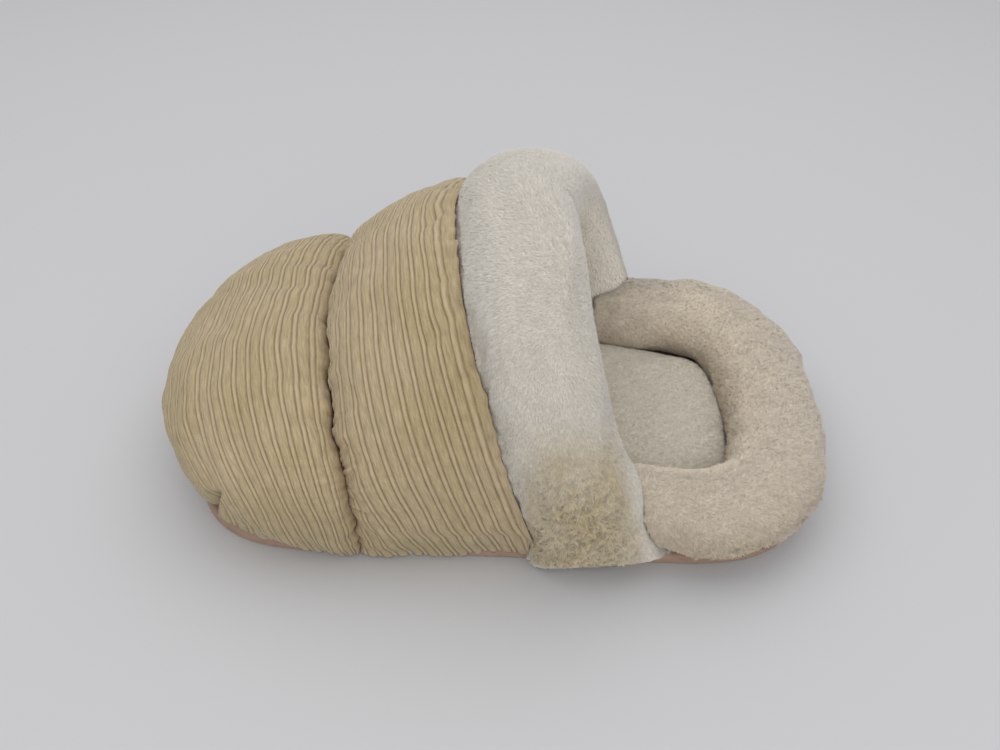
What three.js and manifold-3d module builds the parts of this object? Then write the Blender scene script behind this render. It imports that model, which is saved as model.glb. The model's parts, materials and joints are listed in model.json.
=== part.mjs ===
// Slipper-shaped pet bed, in millimetres, +Z up.
// The toe points along -X, the open heel along +X, and the near side of the photograph is -Y.
// The origin is the middle of the sole's underside, on the floor.
// A corduroy hood in two stuffed panels closes the toe, a plush roll arches over its mouth, a plush
// bolster goes round the heel, and a crowned pad lies on the flat padded sole.

import * as THREE from 'three';
import { mergeVertices } from 'three/addons/utils/BufferGeometryUtils.js';
import Module from 'manifold-3d';

const wasm = await Module();
wasm.setup();

const DEGREE = Math.PI / 180;

// Points closer than this are one point, smaller areas and lengths than this are nothing, and a slope along
// the arch is taken between places this far apart
const WELD = 1e-4;
const TINY = 1e-6;
const NEARBY = 0.01;

// Clearances between sewn pieces
const GAP = 0.5;
const BUTT_GAP = 0.8;
const SEAM_GAP = 0.35;

// A grown copy of one piece cuts its neighbour: how far such a copy runs past its ends and below the floor,
// and how much faster than its sides its underside grows
const CUTTER = { past: 20, deeper: 10 };

// The flat padded base
const SOLE = {
  thickness: 12,
  edgeRound: 3,
  roundSteps: 2,
  halfWidth: 159,
  toeCentreX: -127,
  toeLength: 139,
  heelCentreX: 150,
  heelLength: 137,
  squareness: 3.0,
  outlineSteps: 27,
};

// The hood's seam level: where its panels are drawn in
const HOOD = {
  centreX: -127,
  toeLength: 154,
  halfWidth: 175,
  widestZ: 74,
  toeHeight: 157,
  tuck: 22 * DEGREE,
  squareness: 2.45,
  wall: 18,
  hemZ: 3,
  innerHemZ: 10,
  rows: 28,
  hemCrowding: 1.0,
  innerColumns: 7,
};

// Planes that turn about this line below the floor cut the dome along its wales
const FAN = { x: -107, z: -24, seamLean: 10.3 * DEGREE };

// The first seam, between the toe panel and the instep panel
const SEAM = { bow: 3, skew: 18, skewPower: 1.5 };

// How the stuffing swells a panel between its seams
const PUFF = { height: 12, seamReach: 28, cuffReach: 15, seamFade: 6, hemReach: 62, power: 2.2, toeSpan: 275 };

// Two wales, a wide one and a thin one, make one repeat of the corduroy
const WALE_REPEAT = 12.7;
const WALE = [
  { at: 0.0, height: 0.0 },
  { at: 2.0, height: 1.7 },
  { at: 6.6, height: 1.7 },
  { at: 8.6, height: 0.0 },
  { at: 10.7, height: 1.2 },
];
const TOE_REPEATS = 22;
const INSTEP_REPEATS = 8;
const GORE_REPEATS = 2;
const INSTEP_INNER_COLUMNS = 4;
const INSTEP_CROWN = 15;
const INSTEP_HEM_OUT = 8;
const INSTEP_END_ARCH = 0.965;

// Soft folds across the panels, placed by share from seam to seam and by arch from hem to hem
const TOE_FOLDS = [
  { share: 0.04, arch: -0.28, slant: 0, depth: 4, shareSpan: 0.12, archSpan: 0.05 },
  { share: 0.05, arch: -0.47, slant: 0.2, depth: 4, shareSpan: 0.14, archSpan: 0.05 },
  { share: 0.74, arch: -0.62, slant: 0, depth: 6, shareSpan: 0.13, archSpan: 0.2 },
  { share: 0.6, arch: 0.05, slant: 0, depth: 3, shareSpan: 0.35, archSpan: 0.45 },
  { share: 0.82, arch: -1.0, slant: 0, depth: 6, shareSpan: 0.035, archSpan: 0.2 },
];
const INSTEP_FOLDS = [
  { share: 0.8, arch: -0.3, slant: 0, depth: 3, shareSpan: 0.25, archSpan: 0.06 },
];

// Height of the hem's lower lip above the floor, along the bed
const HEM_LIP = [
  { x: -290, near: 15.0, far: 15.0 },
  { x: -235, near: 15.0, far: 15.0 },
  { x: -165, near: 12.5, far: 12.5 },
  { x: -120, near: 8.5, far: 8.5 },
  { x: 60, near: 8.5, far: 8.5 },
];

// The roll round the mouth: an arch of its middle line, and an oval section
const CUFF = {
  halfWidth: 162,
  widestZ: 80,
  topZ: 243,
  tuck: 22 * DEGREE,
  topX: 22,
  lean: 80,
  leanPower: 1.38,
  skew: 6,
  radial: 38,
  axial: 46,
  topAxial: 52,
  footAxial: 60,
  squareness: 2.15,
  footSquareness: 7,
  footRound: 48,
  footStart: 50,
  footPower: 1.4,
  nearFlare: 7,
  flareZ: 66,
  flareSpan: 44,
  rows: 40,
  around: 24,
  floorZ: 1,
  bandTop: -94 * DEGREE,
  bandBottom: -130 * DEGREE,
  bandSteps: 3,
  bandGap: 0.7,
};

// The roll round the heel
const BOLSTER = {
  startX: 95,
  bendX: 150,
  bendLength: 105,
  bendSpan: 380,
  halfWidth: 143,
  squareness: 2.8,
  middleZ: 48,
  across: 45,
  up: 38,
  down: 35.6,
  tuck: 1.12,
  nearPinch: 9,
  farPinch: 3,
  pinchReach: 110,
  nearThin: 8,
  nearLow: 4,
  thinMiddle: 90,
  thinSpan: 110,
  thinRise: 1.5,
  steps: 40,
  around: 20,
};

// The crowned pad inside
const PAD = {
  toeX: -236,
  heelX: 226,
  halfWidth: 113,
  squareness: 3.6,
  crownZ: 54,
  widestZ: 30,
  underTurn: 35 * DEGREE,
  fullness: 3.2,
  outlineSteps: 28,
  rings: 8,
};

const COLOURS = {
  sole: { colour: 0x8a6f5a, roughness: 0.95 },
  corduroy: { colour: 0xb9a582, roughness: 0.92 },
  cuff: { colour: 0xc9c3b8, roughness: 1.0 },
  bolster: { colour: 0xbcb09f, roughness: 1.0 },
  pad: { colour: 0xb3aa9b, roughness: 1.0 },
};

// Numbers

function mix(a, b, share) {
  return a + (b - a) * share;
}

function clamp(value, low, high) {
  return Math.min(high, Math.max(low, value));
}

// An even rise from 0 to 1 with soft ends
function smooth(value) {
  const share = clamp(value, 0, 1);
  return share * share * (3 - 2 * share);
}

// A value read from a table of named columns, straight from row to row
function readTable(table, key, value, at) {
  let row = 0;
  while (row < table.length - 2 && at > table[row + 1][key]) {
    row += 1;
  }
  const low = table[row];
  const high = table[row + 1];
  return mix(low[value], high[value], clamp((at - low[key]) / (high[key] - low[key]), 0, 1));
}

// Turns a point of a round outline into the squarer outline of a superellipse
function squaring(x, y, power) {
  const radius = Math.hypot(x, y);
  if (radius < TINY) {
    return 1;
  }
  const c = Math.abs(x / radius);
  const s = Math.abs(y / radius);
  return (c ** power + s ** power) ** (-1 / power);
}

// Surfaces and solids

function addGrid(faces, grid, flip) {
  for (let row = 0; row < grid.length - 1; row += 1) {
    for (let column = 0; column < grid[row].length - 1; column += 1) {
      const a = grid[row][column];
      const b = grid[row][column + 1];
      const c = grid[row + 1][column + 1];
      const d = grid[row + 1][column];
      if (flip) {
        faces.push([a, c, b], [a, d, c]);
      } else {
        faces.push([a, b, c], [a, c, d]);
      }
    }
  }
}

// Fills the strip between two lines of points that run side by side
function addStrip(faces, left, right, flip) {
  let i = 0;
  let j = 0;
  while (i < left.length - 1 || j < right.length - 1) {
    const nextLeft = (i + 1) / (left.length - 1);
    const nextRight = (j + 1) / (right.length - 1);
    const stepLeft = j === right.length - 1 || (i < left.length - 1 && nextLeft <= nextRight);
    const third = stepLeft ? left[i + 1] : right[j + 1];
    faces.push(flip ? [left[i], third, right[j]] : [left[i], right[j], third]);
    if (stepLeft) {
      i += 1;
    } else {
      j += 1;
    }
  }
}

// Closes a round line of points with a fan from its middle
function addCap(faces, ring, flip) {
  const middle = new THREE.Vector3();
  for (const point of ring.slice(0, -1)) {
    middle.add(point);
  }
  middle.divideScalar(ring.length - 1);
  for (let step = 0; step < ring.length - 1; step += 1) {
    faces.push(flip ? [ring[step], ring[step + 1], middle] : [ring[step + 1], ring[step], middle]);
  }
}

// A ring of points moved along the bed or in height
function moved(ring, alongX, alongZ) {
  return ring.map((point) => new THREE.Vector3(point.x + alongX, point.y, point.z + alongZ));
}

// A closed geometry from triangles of points, without the ones that have no area
function geometryOf(faces) {
  const positions = [];
  for (const [a, b, c] of faces) {
    const area = new THREE.Vector3().subVectors(b, a).cross(new THREE.Vector3().subVectors(c, a)).length();
    if (area > TINY) {
      positions.push(a.x, a.y, a.z, b.x, b.y, b.z, c.x, c.y, c.z);
    }
  }
  const geometry = new THREE.BufferGeometry();
  geometry.setAttribute('position', new THREE.Float32BufferAttribute(positions, 3));
  return mergeVertices(geometry, WELD);
}

function solidOf(geometry) {
  const bare = geometry.clone();
  bare.deleteAttribute('normal');
  bare.deleteAttribute('uv');
  const merged = mergeVertices(bare, WELD);
  return new wasm.Manifold(
    new wasm.Mesh({
      numProp: 3,
      vertProperties: new Float32Array(merged.attributes.position.array),
      triVerts: new Uint32Array(merged.index.array),
    }),
  );
}

function cut(geometry, ...tools) {
  let solid = solidOf(geometry);
  for (const tool of tools) {
    solid = solid.subtract(solidOf(tool));
  }
  const mesh = solid.getMesh();
  const result = new THREE.BufferGeometry();
  result.setAttribute('position', new THREE.BufferAttribute(new Float32Array(mesh.vertProperties), 3));
  result.setIndex(new THREE.BufferAttribute(new Uint32Array(mesh.triVerts), 1));
  return result;
}

// Sole

// The sole's outline, a superellipse half at the toe and another at the heel, grown by a margin
function soleOutline(grow) {
  const points = [];
  for (let step = 0; step < 2 * SOLE.outlineSteps; step += 1) {
    const angle = (step + 0.5) * (Math.PI / SOLE.outlineSteps);
    const c = Math.cos(angle);
    const s = Math.sin(angle);
    const k = squaring(c, s, SOLE.squareness);
    const half = c < 0 ? { x: SOLE.toeCentreX, length: SOLE.toeLength } : { x: SOLE.heelCentreX, length: SOLE.heelLength };
    points.push(new THREE.Vector2(half.x + (half.length + grow) * c * k, (SOLE.halfWidth + grow) * s * k));
  }
  return points;
}

function soleGeometry(grow) {
  const round = SOLE.edgeRound;
  const geometry = new THREE.ExtrudeGeometry(new THREE.Shape(soleOutline(grow - round)), {
    depth: SOLE.thickness - 2 * round,
    bevelEnabled: true,
    bevelThickness: round,
    bevelSize: round,
    bevelSegments: SOLE.roundSteps,
  });
  geometry.translate(0, 0, round);
  return geometry;
}

// The sole with clearance round it, and reaching below the floor, to cut the pieces that lie on it
function soleCutter() {
  const depth = SOLE.thickness + GAP + CUTTER.past;
  const geometry = new THREE.ExtrudeGeometry(new THREE.Shape(soleOutline(GAP)), { depth, bevelEnabled: false });
  geometry.translate(0, 0, SOLE.thickness + GAP - depth);
  return geometry;
}

// Hood

// Height over the widest level: even above it, and stretched smoothly below it down to the hem
function archZ(unitZ, widestZ, up, down, tuck) {
  if (unitZ >= 0) {
    return widestZ + up * unitZ;
  }
  const floor = Math.sin(tuck);
  const bend = (down - up * floor) / (floor * floor);
  return widestZ + up * unitZ - bend * unitZ * unitZ;
}

// A point of the toe dome: share 0 is the first seam and 1 the toe's tip at the hem,
// and arch runs from -1 at the near hem over the top to 1 at the far hem
function domePoint(share, arch, inset, hemZ) {
  const up = HOOD.toeHeight - HOOD.widestZ;
  const unitHem = -Math.sin(HOOD.tuck);
  const fanX = (FAN.x - HOOD.centreX) / HOOD.toeLength;
  const fanZ = (FAN.z - HOOD.widestZ) / up;
  const startLean = Math.atan((Math.tan(FAN.seamLean) * up) / HOOD.toeLength);
  const tipLean = Math.atan2(Math.cos(HOOD.tuck) + fanX, unitHem - fanZ);
  const lean = mix(startLean, tipLean, share);
  const reach = Math.cos(lean) * fanX + Math.sin(lean) * fanZ;
  const radius = Math.sqrt(Math.max(0, 1 - reach * reach));
  const hemTurn = Math.acos(clamp((unitHem - reach * Math.sin(lean)) / (radius * Math.cos(lean)), -1, 1));
  const turn = arch * hemTurn;
  const unitX = reach * Math.cos(lean) - radius * Math.sin(lean) * Math.cos(turn);
  const unitY = radius * Math.sin(turn);
  const unitZ = reach * Math.sin(lean) + radius * Math.cos(lean) * Math.cos(turn);
  const square = unitX < 0 ? squaring(unitX, unitY, HOOD.squareness) : 1;
  const height = clamp((unitZ - unitHem) / (1 - unitHem), 0, 1);
  const fade = (1 - share) ** 2;
  const skew = SEAM.skew * Math.sign(unitY) * Math.abs(unitY) ** SEAM.skewPower;
  const shift = (SEAM.bow * Math.sin(Math.PI * height) - skew) * fade;
  return new THREE.Vector3(
    HOOD.centreX + (HOOD.toeLength - inset) * unitX * square + shift,
    (HOOD.halfWidth - inset) * unitY * square,
    archZ(unitZ, HOOD.widestZ, up - inset, HOOD.widestZ - hemZ, HOOD.tuck),
  );
}

// The outward direction of the toe dome at a point of it
function domeNormal(point) {
  const high = point.z > HOOD.widestZ ? HOOD.toeHeight - HOOD.widestZ : HOOD.halfWidth;
  return new THREE.Vector3(
    Math.min(0, point.x - HOOD.centreX) / HOOD.toeLength ** 2,
    point.y / HOOD.halfWidth ** 2,
    (point.z - HOOD.widestZ) / high ** 2,
  ).normalize();
}

// A point of the instep panel's seam level: share 0 is the first seam and 1 the cuff
function instepPoint(share, arch) {
  const start = domePoint(0, arch, 0, HOOD.hemZ);
  const end = cuffPoint(arch * INSTEP_END_ARCH, CUFF.bandTop, CUFF.bandGap);
  const point = start.lerp(end, share);
  point.z += 4 * INSTEP_CROWN * share * (1 - share) * Math.cos((arch * Math.PI) / 2);
  const low = 1 - clamp(point.z / PUFF.hemReach, 0, 1);
  point.y += Math.sign(point.y) * INSTEP_HEM_OUT * share * low * low;
  return point;
}

function instepNormal(share, arch) {
  const inside = clamp(arch, -1 + NEARBY, 1 - NEARBY);
  const along = instepPoint(1, inside).sub(instepPoint(0, inside));
  const over = instepPoint(share, inside + NEARBY).sub(instepPoint(share, inside - NEARBY));
  return new THREE.Vector3().crossVectors(over, along).normalize().negate();
}

// How far the stuffing stands out, by the distances to the seams beside it and the height over the hem
function puff(seams, z) {
  let swell = PUFF.height;
  for (const seam of seams) {
    swell *= 1 - (1 - clamp(seam.distance / seam.reach, 0, 1)) ** PUFF.power;
  }
  return swell * (1 - (1 - clamp(z / PUFF.hemReach, 0, 1)) ** 2);
}

// The corduroy's height over its ground, by the distance across the wales
function waleHeight(distance) {
  const at = distance - WALE_REPEAT * Math.floor(distance / WALE_REPEAT + TINY);
  return readTable([...WALE, { at: WALE_REPEAT, height: 0 }], 'at', 'height', at);
}

// Relief and folds die out in the last stretch before a seam
function seamFade(distance) {
  return clamp(distance / PUFF.seamFade, 0, 1);
}

// How deep the folds of one panel are at a point of it
function foldDepth(folds, share, arch) {
  let depth = 0;
  for (const fold of folds) {
    const along = (share - fold.share) / fold.shareSpan;
    const across = (arch - fold.arch - fold.slant * (share - fold.share)) / fold.archSpan;
    depth += fold.depth * Math.exp(-along * along - across * across);
  }
  return depth;
}

// Lifts the lower edge of a panel to the hem's lip, which is not the same height all round
function liftHem(point) {
  const lip = readTable(HEM_LIP, 'x', point.y < 0 ? 'near' : 'far', point.x);
  const fade = (1 - clamp((point.z - HOOD.hemZ) / PUFF.hemReach, 0, 1)) ** 2;
  point.z = Math.max(point.z + (lip - HOOD.hemZ) * fade, CUFF.floorZ);
  return point;
}

// Rows over the arch, closer together towards the hems
function archRows() {
  const rows = [];
  for (let row = 0; row <= HOOD.rows; row += 1) {
    const even = mix(-1, 1, row / HOOD.rows);
    rows.push(Math.sin(even * HOOD.hemCrowding) / Math.sin(HOOD.hemCrowding));
  }
  return rows;
}

// A closed stuffed panel from rows of points that run round its section
function shellFrom(rings, flip) {
  const faces = [];
  addGrid(faces, rings.map((ring) => [...ring.outer, ...ring.edge, ...ring.inner, ring.outer[0]]), flip);
  for (const [ring, turned] of [[rings[0], flip], [rings[rings.length - 1], !flip]]) {
    addStrip(faces, [...ring.outer, ...ring.edge], [...ring.inner].reverse(), turned);
  }
  return geometryOf(faces);
}

function toeBand() {
  const rings = archRows().map((arch) => {
    const outer = [];
    for (let repeat = 0; repeat < TOE_REPEATS; repeat += 1) {
      for (const wale of WALE) {
        const share = (repeat + wale.at / WALE_REPEAT) / TOE_REPEATS;
        const base = domePoint(share, arch, 0, HOOD.hemZ);
        const distance = share * PUFF.toeSpan;
        const relief = seamFade(distance) * (wale.height - foldDepth(TOE_FOLDS, share, arch));
        const lift = puff([{ distance, reach: PUFF.seamReach }], base.z) + relief;
        outer.push(liftHem(base.clone().addScaledVector(domeNormal(base), lift)));
      }
    }
    outer.push(liftHem(domePoint(1, 0, 0, HOOD.hemZ)));
    const inner = [];
    for (let column = HOOD.innerColumns; column >= 0; column -= 1) {
      const share = column / HOOD.innerColumns;
      inner.push(domePoint(share, column === HOOD.innerColumns ? 0 : arch, HOOD.wall, HOOD.innerHemZ));
    }
    outer[0].x -= SEAM_GAP;
    inner[inner.length - 1].x -= SEAM_GAP;
    return { outer, edge: [], inner };
  });
  return cut(shellFrom(rings, true), soleCutter());
}

function instepBand() {
  const rings = archRows().map((arch) => {
    const width = instepPoint(0, arch).distanceTo(instepPoint(1, arch));
    const distances = [];
    for (let repeat = INSTEP_REPEATS - 1; repeat >= 0; repeat -= 1) {
      for (const wale of [...WALE].reverse()) {
        distances.push(repeat * WALE_REPEAT + wale.at);
      }
    }
    const goreEdge = INSTEP_REPEATS * WALE_REPEAT;
    const goreColumns = GORE_REPEATS * WALE.length;
    const gore = [];
    for (let column = 0; column < goreColumns; column += 1) {
      gore.push(mix(width, goreEdge, column / goreColumns));
    }
    const outer = [...gore, goreEdge, ...distances].map((distance) => {
      const share = 1 - distance / width;
      const base = instepPoint(share, arch);
      const fade = seamFade(Math.min(distance, width - distance));
      const relief = fade * (waleHeight(distance) - foldDepth(INSTEP_FOLDS, share, arch));
      const seams = [
        { distance: width - distance, reach: PUFF.seamReach },
        { distance, reach: PUFF.cuffReach },
      ];
      const lift = puff(seams, base.z) + relief;
      return liftHem(base.clone().addScaledVector(instepNormal(share, arch), lift));
    });
    const edge = [];
    for (let step = 1; step < CUFF.bandSteps; step += 1) {
      const around = mix(CUFF.bandTop, CUFF.bandBottom, step / CUFF.bandSteps);
      edge.push(cuffPoint(arch * INSTEP_END_ARCH, around, CUFF.bandGap));
    }
    const start = domePoint(0, arch, HOOD.wall, HOOD.innerHemZ);
    const end = cuffPoint(arch * INSTEP_END_ARCH, CUFF.bandBottom, CUFF.bandGap);
    const inner = [];
    for (let column = 0; column <= INSTEP_INNER_COLUMNS; column += 1) {
      inner.push(end.clone().lerp(start, column / INSTEP_INNER_COLUMNS));
    }
    outer[0].x += SEAM_GAP;
    inner[inner.length - 1].x += SEAM_GAP;
    return { outer, edge, inner };
  });
  return cut(shellFrom(rings, false), soleCutter(), cuffGeometry(GAP));
}

// Cuff

function cuffMiddle(arch) {
  const turn = arch * (Math.PI / 2 + CUFF.tuck);
  const unitZ = Math.cos(turn);
  const z = archZ(unitZ, CUFF.widestZ, CUFF.topZ - CUFF.widestZ, CUFF.widestZ, CUFF.tuck);
  const x = CUFF.topX + CUFF.lean * Math.abs(arch) ** CUFF.leanPower + CUFF.skew * Math.sin(turn);
  return new THREE.Vector3(x, CUFF.halfWidth * Math.sin(turn), z);
}

// A point on the roll: around is 0 on its outer side and a quarter turn on its heel side
function cuffPoint(arch, around, grow) {
  const middle = cuffMiddle(arch);
  const tangent = cuffMiddle(arch + NEARBY).sub(cuffMiddle(arch - NEARBY)).normalize();
  const turn = arch * (Math.PI / 2 + CUFF.tuck);
  const outward = new THREE.Vector3(0, Math.sin(turn) * (CUFF.topZ - CUFF.widestZ), Math.cos(turn) * CUFF.halfWidth);
  const axial = new THREE.Vector3().crossVectors(tangent, outward).normalize();
  const radial = new THREE.Vector3().crossVectors(axial, tangent).normalize();
  const low = clamp((CUFF.footStart - middle.z) / CUFF.footRound, 0, 1);
  const radialSize = CUFF.radial * Math.sqrt(1 - low ** CUFF.footPower) + grow;
  const high = Math.max(0, Math.cos(turn)) ** 2;
  const heelward = turn < 0 ? Math.max(Math.sin(around), 0) : 0;
  const flare = CUFF.nearFlare * heelward * Math.exp(-(((middle.z - CUFF.flareZ) / CUFF.flareSpan) ** 2));
  const axialSize = mix(mix(CUFF.axial, CUFF.topAxial, high), CUFF.footAxial, low) + flare + grow;
  const power = mix(CUFF.squareness, CUFF.footSquareness, low);
  const square = squaring(Math.cos(around), Math.sin(around), power);
  const point = middle
    .addScaledVector(radial, radialSize * Math.cos(around) * square)
    .addScaledVector(axial, axialSize * Math.sin(around) * square);
  point.z = Math.max(point.z, CUFF.floorZ);
  return point;
}

function cuffGeometry(grow) {
  const grid = [];
  for (let row = 0; row <= CUFF.rows; row += 1) {
    const arch = mix(-1, 1, row / CUFF.rows);
    const ring = [];
    for (let column = 0; column <= CUFF.around; column += 1) {
      const point = cuffPoint(arch, ((column % CUFF.around) / CUFF.around) * 2 * Math.PI, grow);
      ring.push(point);
    }
    grid.push(ring);
  }
  if (grow > 0) {
    grid.unshift(moved(grid[0], 0, -CUTTER.past));
    grid.push(moved(grid[grid.length - 1], 0, -CUTTER.past));
  }
  const faces = [];
  addGrid(faces, grid, false);
  addCap(faces, grid[0], false);
  addCap(faces, grid[grid.length - 1], true);
  return geometryOf(faces);
}

// Heel bolster

// A point on the roll: share runs from its near end round the heel to its far end
function bolsterPoint(share, around, grow) {
  const straight = BOLSTER.bendX - BOLSTER.startX;
  const bend = BOLSTER.bendSpan;
  const travel = share * (2 * straight + bend);
  let x = BOLSTER.startX + travel;
  let y = -BOLSTER.halfWidth;
  let side = new THREE.Vector3(0, -1, 0);
  if (travel > straight && travel < straight + bend) {
    const turn = ((travel - straight) / bend - 0.5) * Math.PI;
    const square = squaring(Math.cos(turn), Math.sin(turn), BOLSTER.squareness);
    x = BOLSTER.bendX + BOLSTER.bendLength * Math.cos(turn) * square;
    y = BOLSTER.halfWidth * Math.sin(turn) * square;
    const nx = (Math.cos(turn) * square) ** (BOLSTER.squareness - 1) / BOLSTER.bendLength;
    const ny = Math.abs(Math.sin(turn) * square) ** (BOLSTER.squareness - 1) / BOLSTER.halfWidth;
    side = new THREE.Vector3(nx, Math.sign(turn) * ny, 0).normalize();
  } else if (travel >= straight + bend) {
    x = BOLSTER.startX + 2 * straight + bend - travel;
    y = BOLSTER.halfWidth;
    side = new THREE.Vector3(0, 1, 0);
  }
  const fromEnd = clamp(Math.min(travel, 2 * straight + bend - travel) / BOLSTER.pinchReach, 0, 1);
  const pinch = (y < 0 ? BOLSTER.nearPinch : BOLSTER.farPinch) * (1 - smooth(fromEnd));
  y -= Math.sign(y) * pinch;
  const low = Math.sin(around) < 0;
  const slim = Math.exp(-(((travel - BOLSTER.thinMiddle) / BOLSTER.thinSpan) ** 2));
  const rise = low ? BOLSTER.down + CUTTER.deeper * grow : BOLSTER.up - BOLSTER.nearLow * slim + grow;
  const spread = Math.sign(Math.cos(around)) * Math.abs(Math.cos(around)) ** (low ? BOLSTER.tuck : 1);
  const thin = BOLSTER.nearThin * slim * smooth(-BOLSTER.thinRise * spread);
  return new THREE.Vector3(x, y, BOLSTER.middleZ + rise * Math.sin(around)).addScaledVector(
    side,
    (BOLSTER.across - pinch - thin + grow) * spread,
  );
}

function bolsterGeometry(grow) {
  const grid = [];
  for (let row = 0; row <= BOLSTER.steps; row += 1) {
    const ring = [];
    for (let column = 0; column <= BOLSTER.around; column += 1) {
      const around = ((column % BOLSTER.around) / BOLSTER.around) * 2 * Math.PI;
      ring.push(bolsterPoint(row / BOLSTER.steps, around, grow));
    }
    grid.push(ring);
  }
  if (grow > 0) {
    grid.unshift(moved(grid[0], -CUTTER.past, 0));
    grid.push(moved(grid[grid.length - 1], -CUTTER.past, 0));
  }
  const faces = [];
  addGrid(faces, grid, true);
  addCap(faces, grid[0], true);
  addCap(faces, grid[grid.length - 1], false);
  return geometryOf(faces);
}

// Pad

function padGeometry() {
  const middleX = (PAD.toeX + PAD.heelX) / 2;
  const halfLength = (PAD.heelX - PAD.toeX) / 2;
  const lowZ = SOLE.thickness + GAP;
  const grid = [];
  for (let ring = 0; ring <= PAD.rings; ring += 1) {
    const turn = mix(-PAD.underTurn, Math.PI / 2, ring / PAD.rings);
    const full = turn < 0 ? 1 : squaring(Math.cos(turn), Math.sin(turn), PAD.fullness);
    const spread = Math.cos(turn) * full;
    const z = turn < 0
      ? mix(PAD.widestZ, lowZ, Math.sin(-turn) / Math.sin(PAD.underTurn))
      : mix(PAD.widestZ, PAD.crownZ, Math.sin(turn) * full);
    const line = [];
    for (let step = 0; step <= PAD.outlineSteps; step += 1) {
      const angle = ((step % PAD.outlineSteps) / PAD.outlineSteps) * 2 * Math.PI;
      const square = squaring(Math.cos(angle), Math.sin(angle), PAD.squareness);
      line.push(
        new THREE.Vector3(
          middleX + halfLength * spread * Math.cos(angle) * square,
          PAD.halfWidth * spread * Math.sin(angle) * square,
          z,
        ),
      );
    }
    grid.push(line);
  }
  const faces = [];
  addGrid(faces, grid, false);
  addCap(faces, grid[0], false);
  return geometryOf(faces);
}

const group = new THREE.Group();
group.name = 'slipper_pet_bed';

function addPiece(name, geometry, finish) {
  const material = new THREE.MeshStandardMaterial({ color: finish.colour, roughness: finish.roughness, metalness: 0 });
  const mesh = new THREE.Mesh(geometry, material);
  mesh.name = name;
  group.add(mesh);
}

addPiece('sole', soleGeometry(0), COLOURS.sole);
addPiece('toe_band', toeBand(), COLOURS.corduroy);
addPiece('instep_band', instepBand(), COLOURS.corduroy);
addPiece('cuff', cut(cuffGeometry(0), soleCutter()), COLOURS.cuff);
addPiece('heel_bolster', cut(bolsterGeometry(0), cuffGeometry(BUTT_GAP)), COLOURS.bolster);
addPiece('pad', cut(padGeometry(), bolsterGeometry(GAP)), COLOURS.pad);

export default group;
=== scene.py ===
# %% [markdown]
# # A slipper-shaped pet bed
#
# The bed is sewn from stuffed cloth: a tan corduroy hood in two panels, an off-white plush roll round its
# mouth, a beige plush bolster round the heel, and a crowned pad on a flat brown sole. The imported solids
# give every size and place. This lesson puts cloth on them: wales that are really raised, seams that draw
# the cloth in, and a pile of many thousand small hairs on the plush.

import json
import math

import bpy
import numpy as np
from mathutils import Matrix

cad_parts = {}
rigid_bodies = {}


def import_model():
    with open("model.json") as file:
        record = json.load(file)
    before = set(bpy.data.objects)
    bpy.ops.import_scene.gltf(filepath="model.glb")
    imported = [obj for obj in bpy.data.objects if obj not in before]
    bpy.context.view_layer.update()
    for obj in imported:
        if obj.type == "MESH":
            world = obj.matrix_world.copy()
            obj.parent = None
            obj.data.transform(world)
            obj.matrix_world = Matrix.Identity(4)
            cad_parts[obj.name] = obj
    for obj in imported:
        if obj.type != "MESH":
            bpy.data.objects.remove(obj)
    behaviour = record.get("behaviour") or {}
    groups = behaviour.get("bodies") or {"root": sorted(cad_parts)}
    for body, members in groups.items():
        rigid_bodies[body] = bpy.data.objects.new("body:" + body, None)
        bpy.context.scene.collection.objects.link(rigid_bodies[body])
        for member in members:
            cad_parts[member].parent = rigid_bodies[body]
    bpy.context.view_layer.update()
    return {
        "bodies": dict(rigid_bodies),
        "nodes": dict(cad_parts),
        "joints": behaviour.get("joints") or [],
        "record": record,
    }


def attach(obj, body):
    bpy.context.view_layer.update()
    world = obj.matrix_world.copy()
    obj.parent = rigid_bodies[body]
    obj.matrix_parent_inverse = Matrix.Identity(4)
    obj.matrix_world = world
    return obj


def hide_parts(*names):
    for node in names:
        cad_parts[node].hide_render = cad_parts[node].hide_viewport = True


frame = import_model()

# %% [markdown]
# ## Working in millimetres
#
# A sewn thing is measured in millimetres, so every shape below is worked out in them, as whole numpy
# arrays, and turned to metres only when a mesh is made. The tables give the same sizes that the solids were
# built from, with a few of the cloth's own: where the corduroy's edge lies on the roll, and how far the far
# side is filled. Angles of the roll's section are counted from its outer side, and the hood's side is below
# zero. ON_SOLE is the clearance between the sole and what stands on it.

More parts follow.
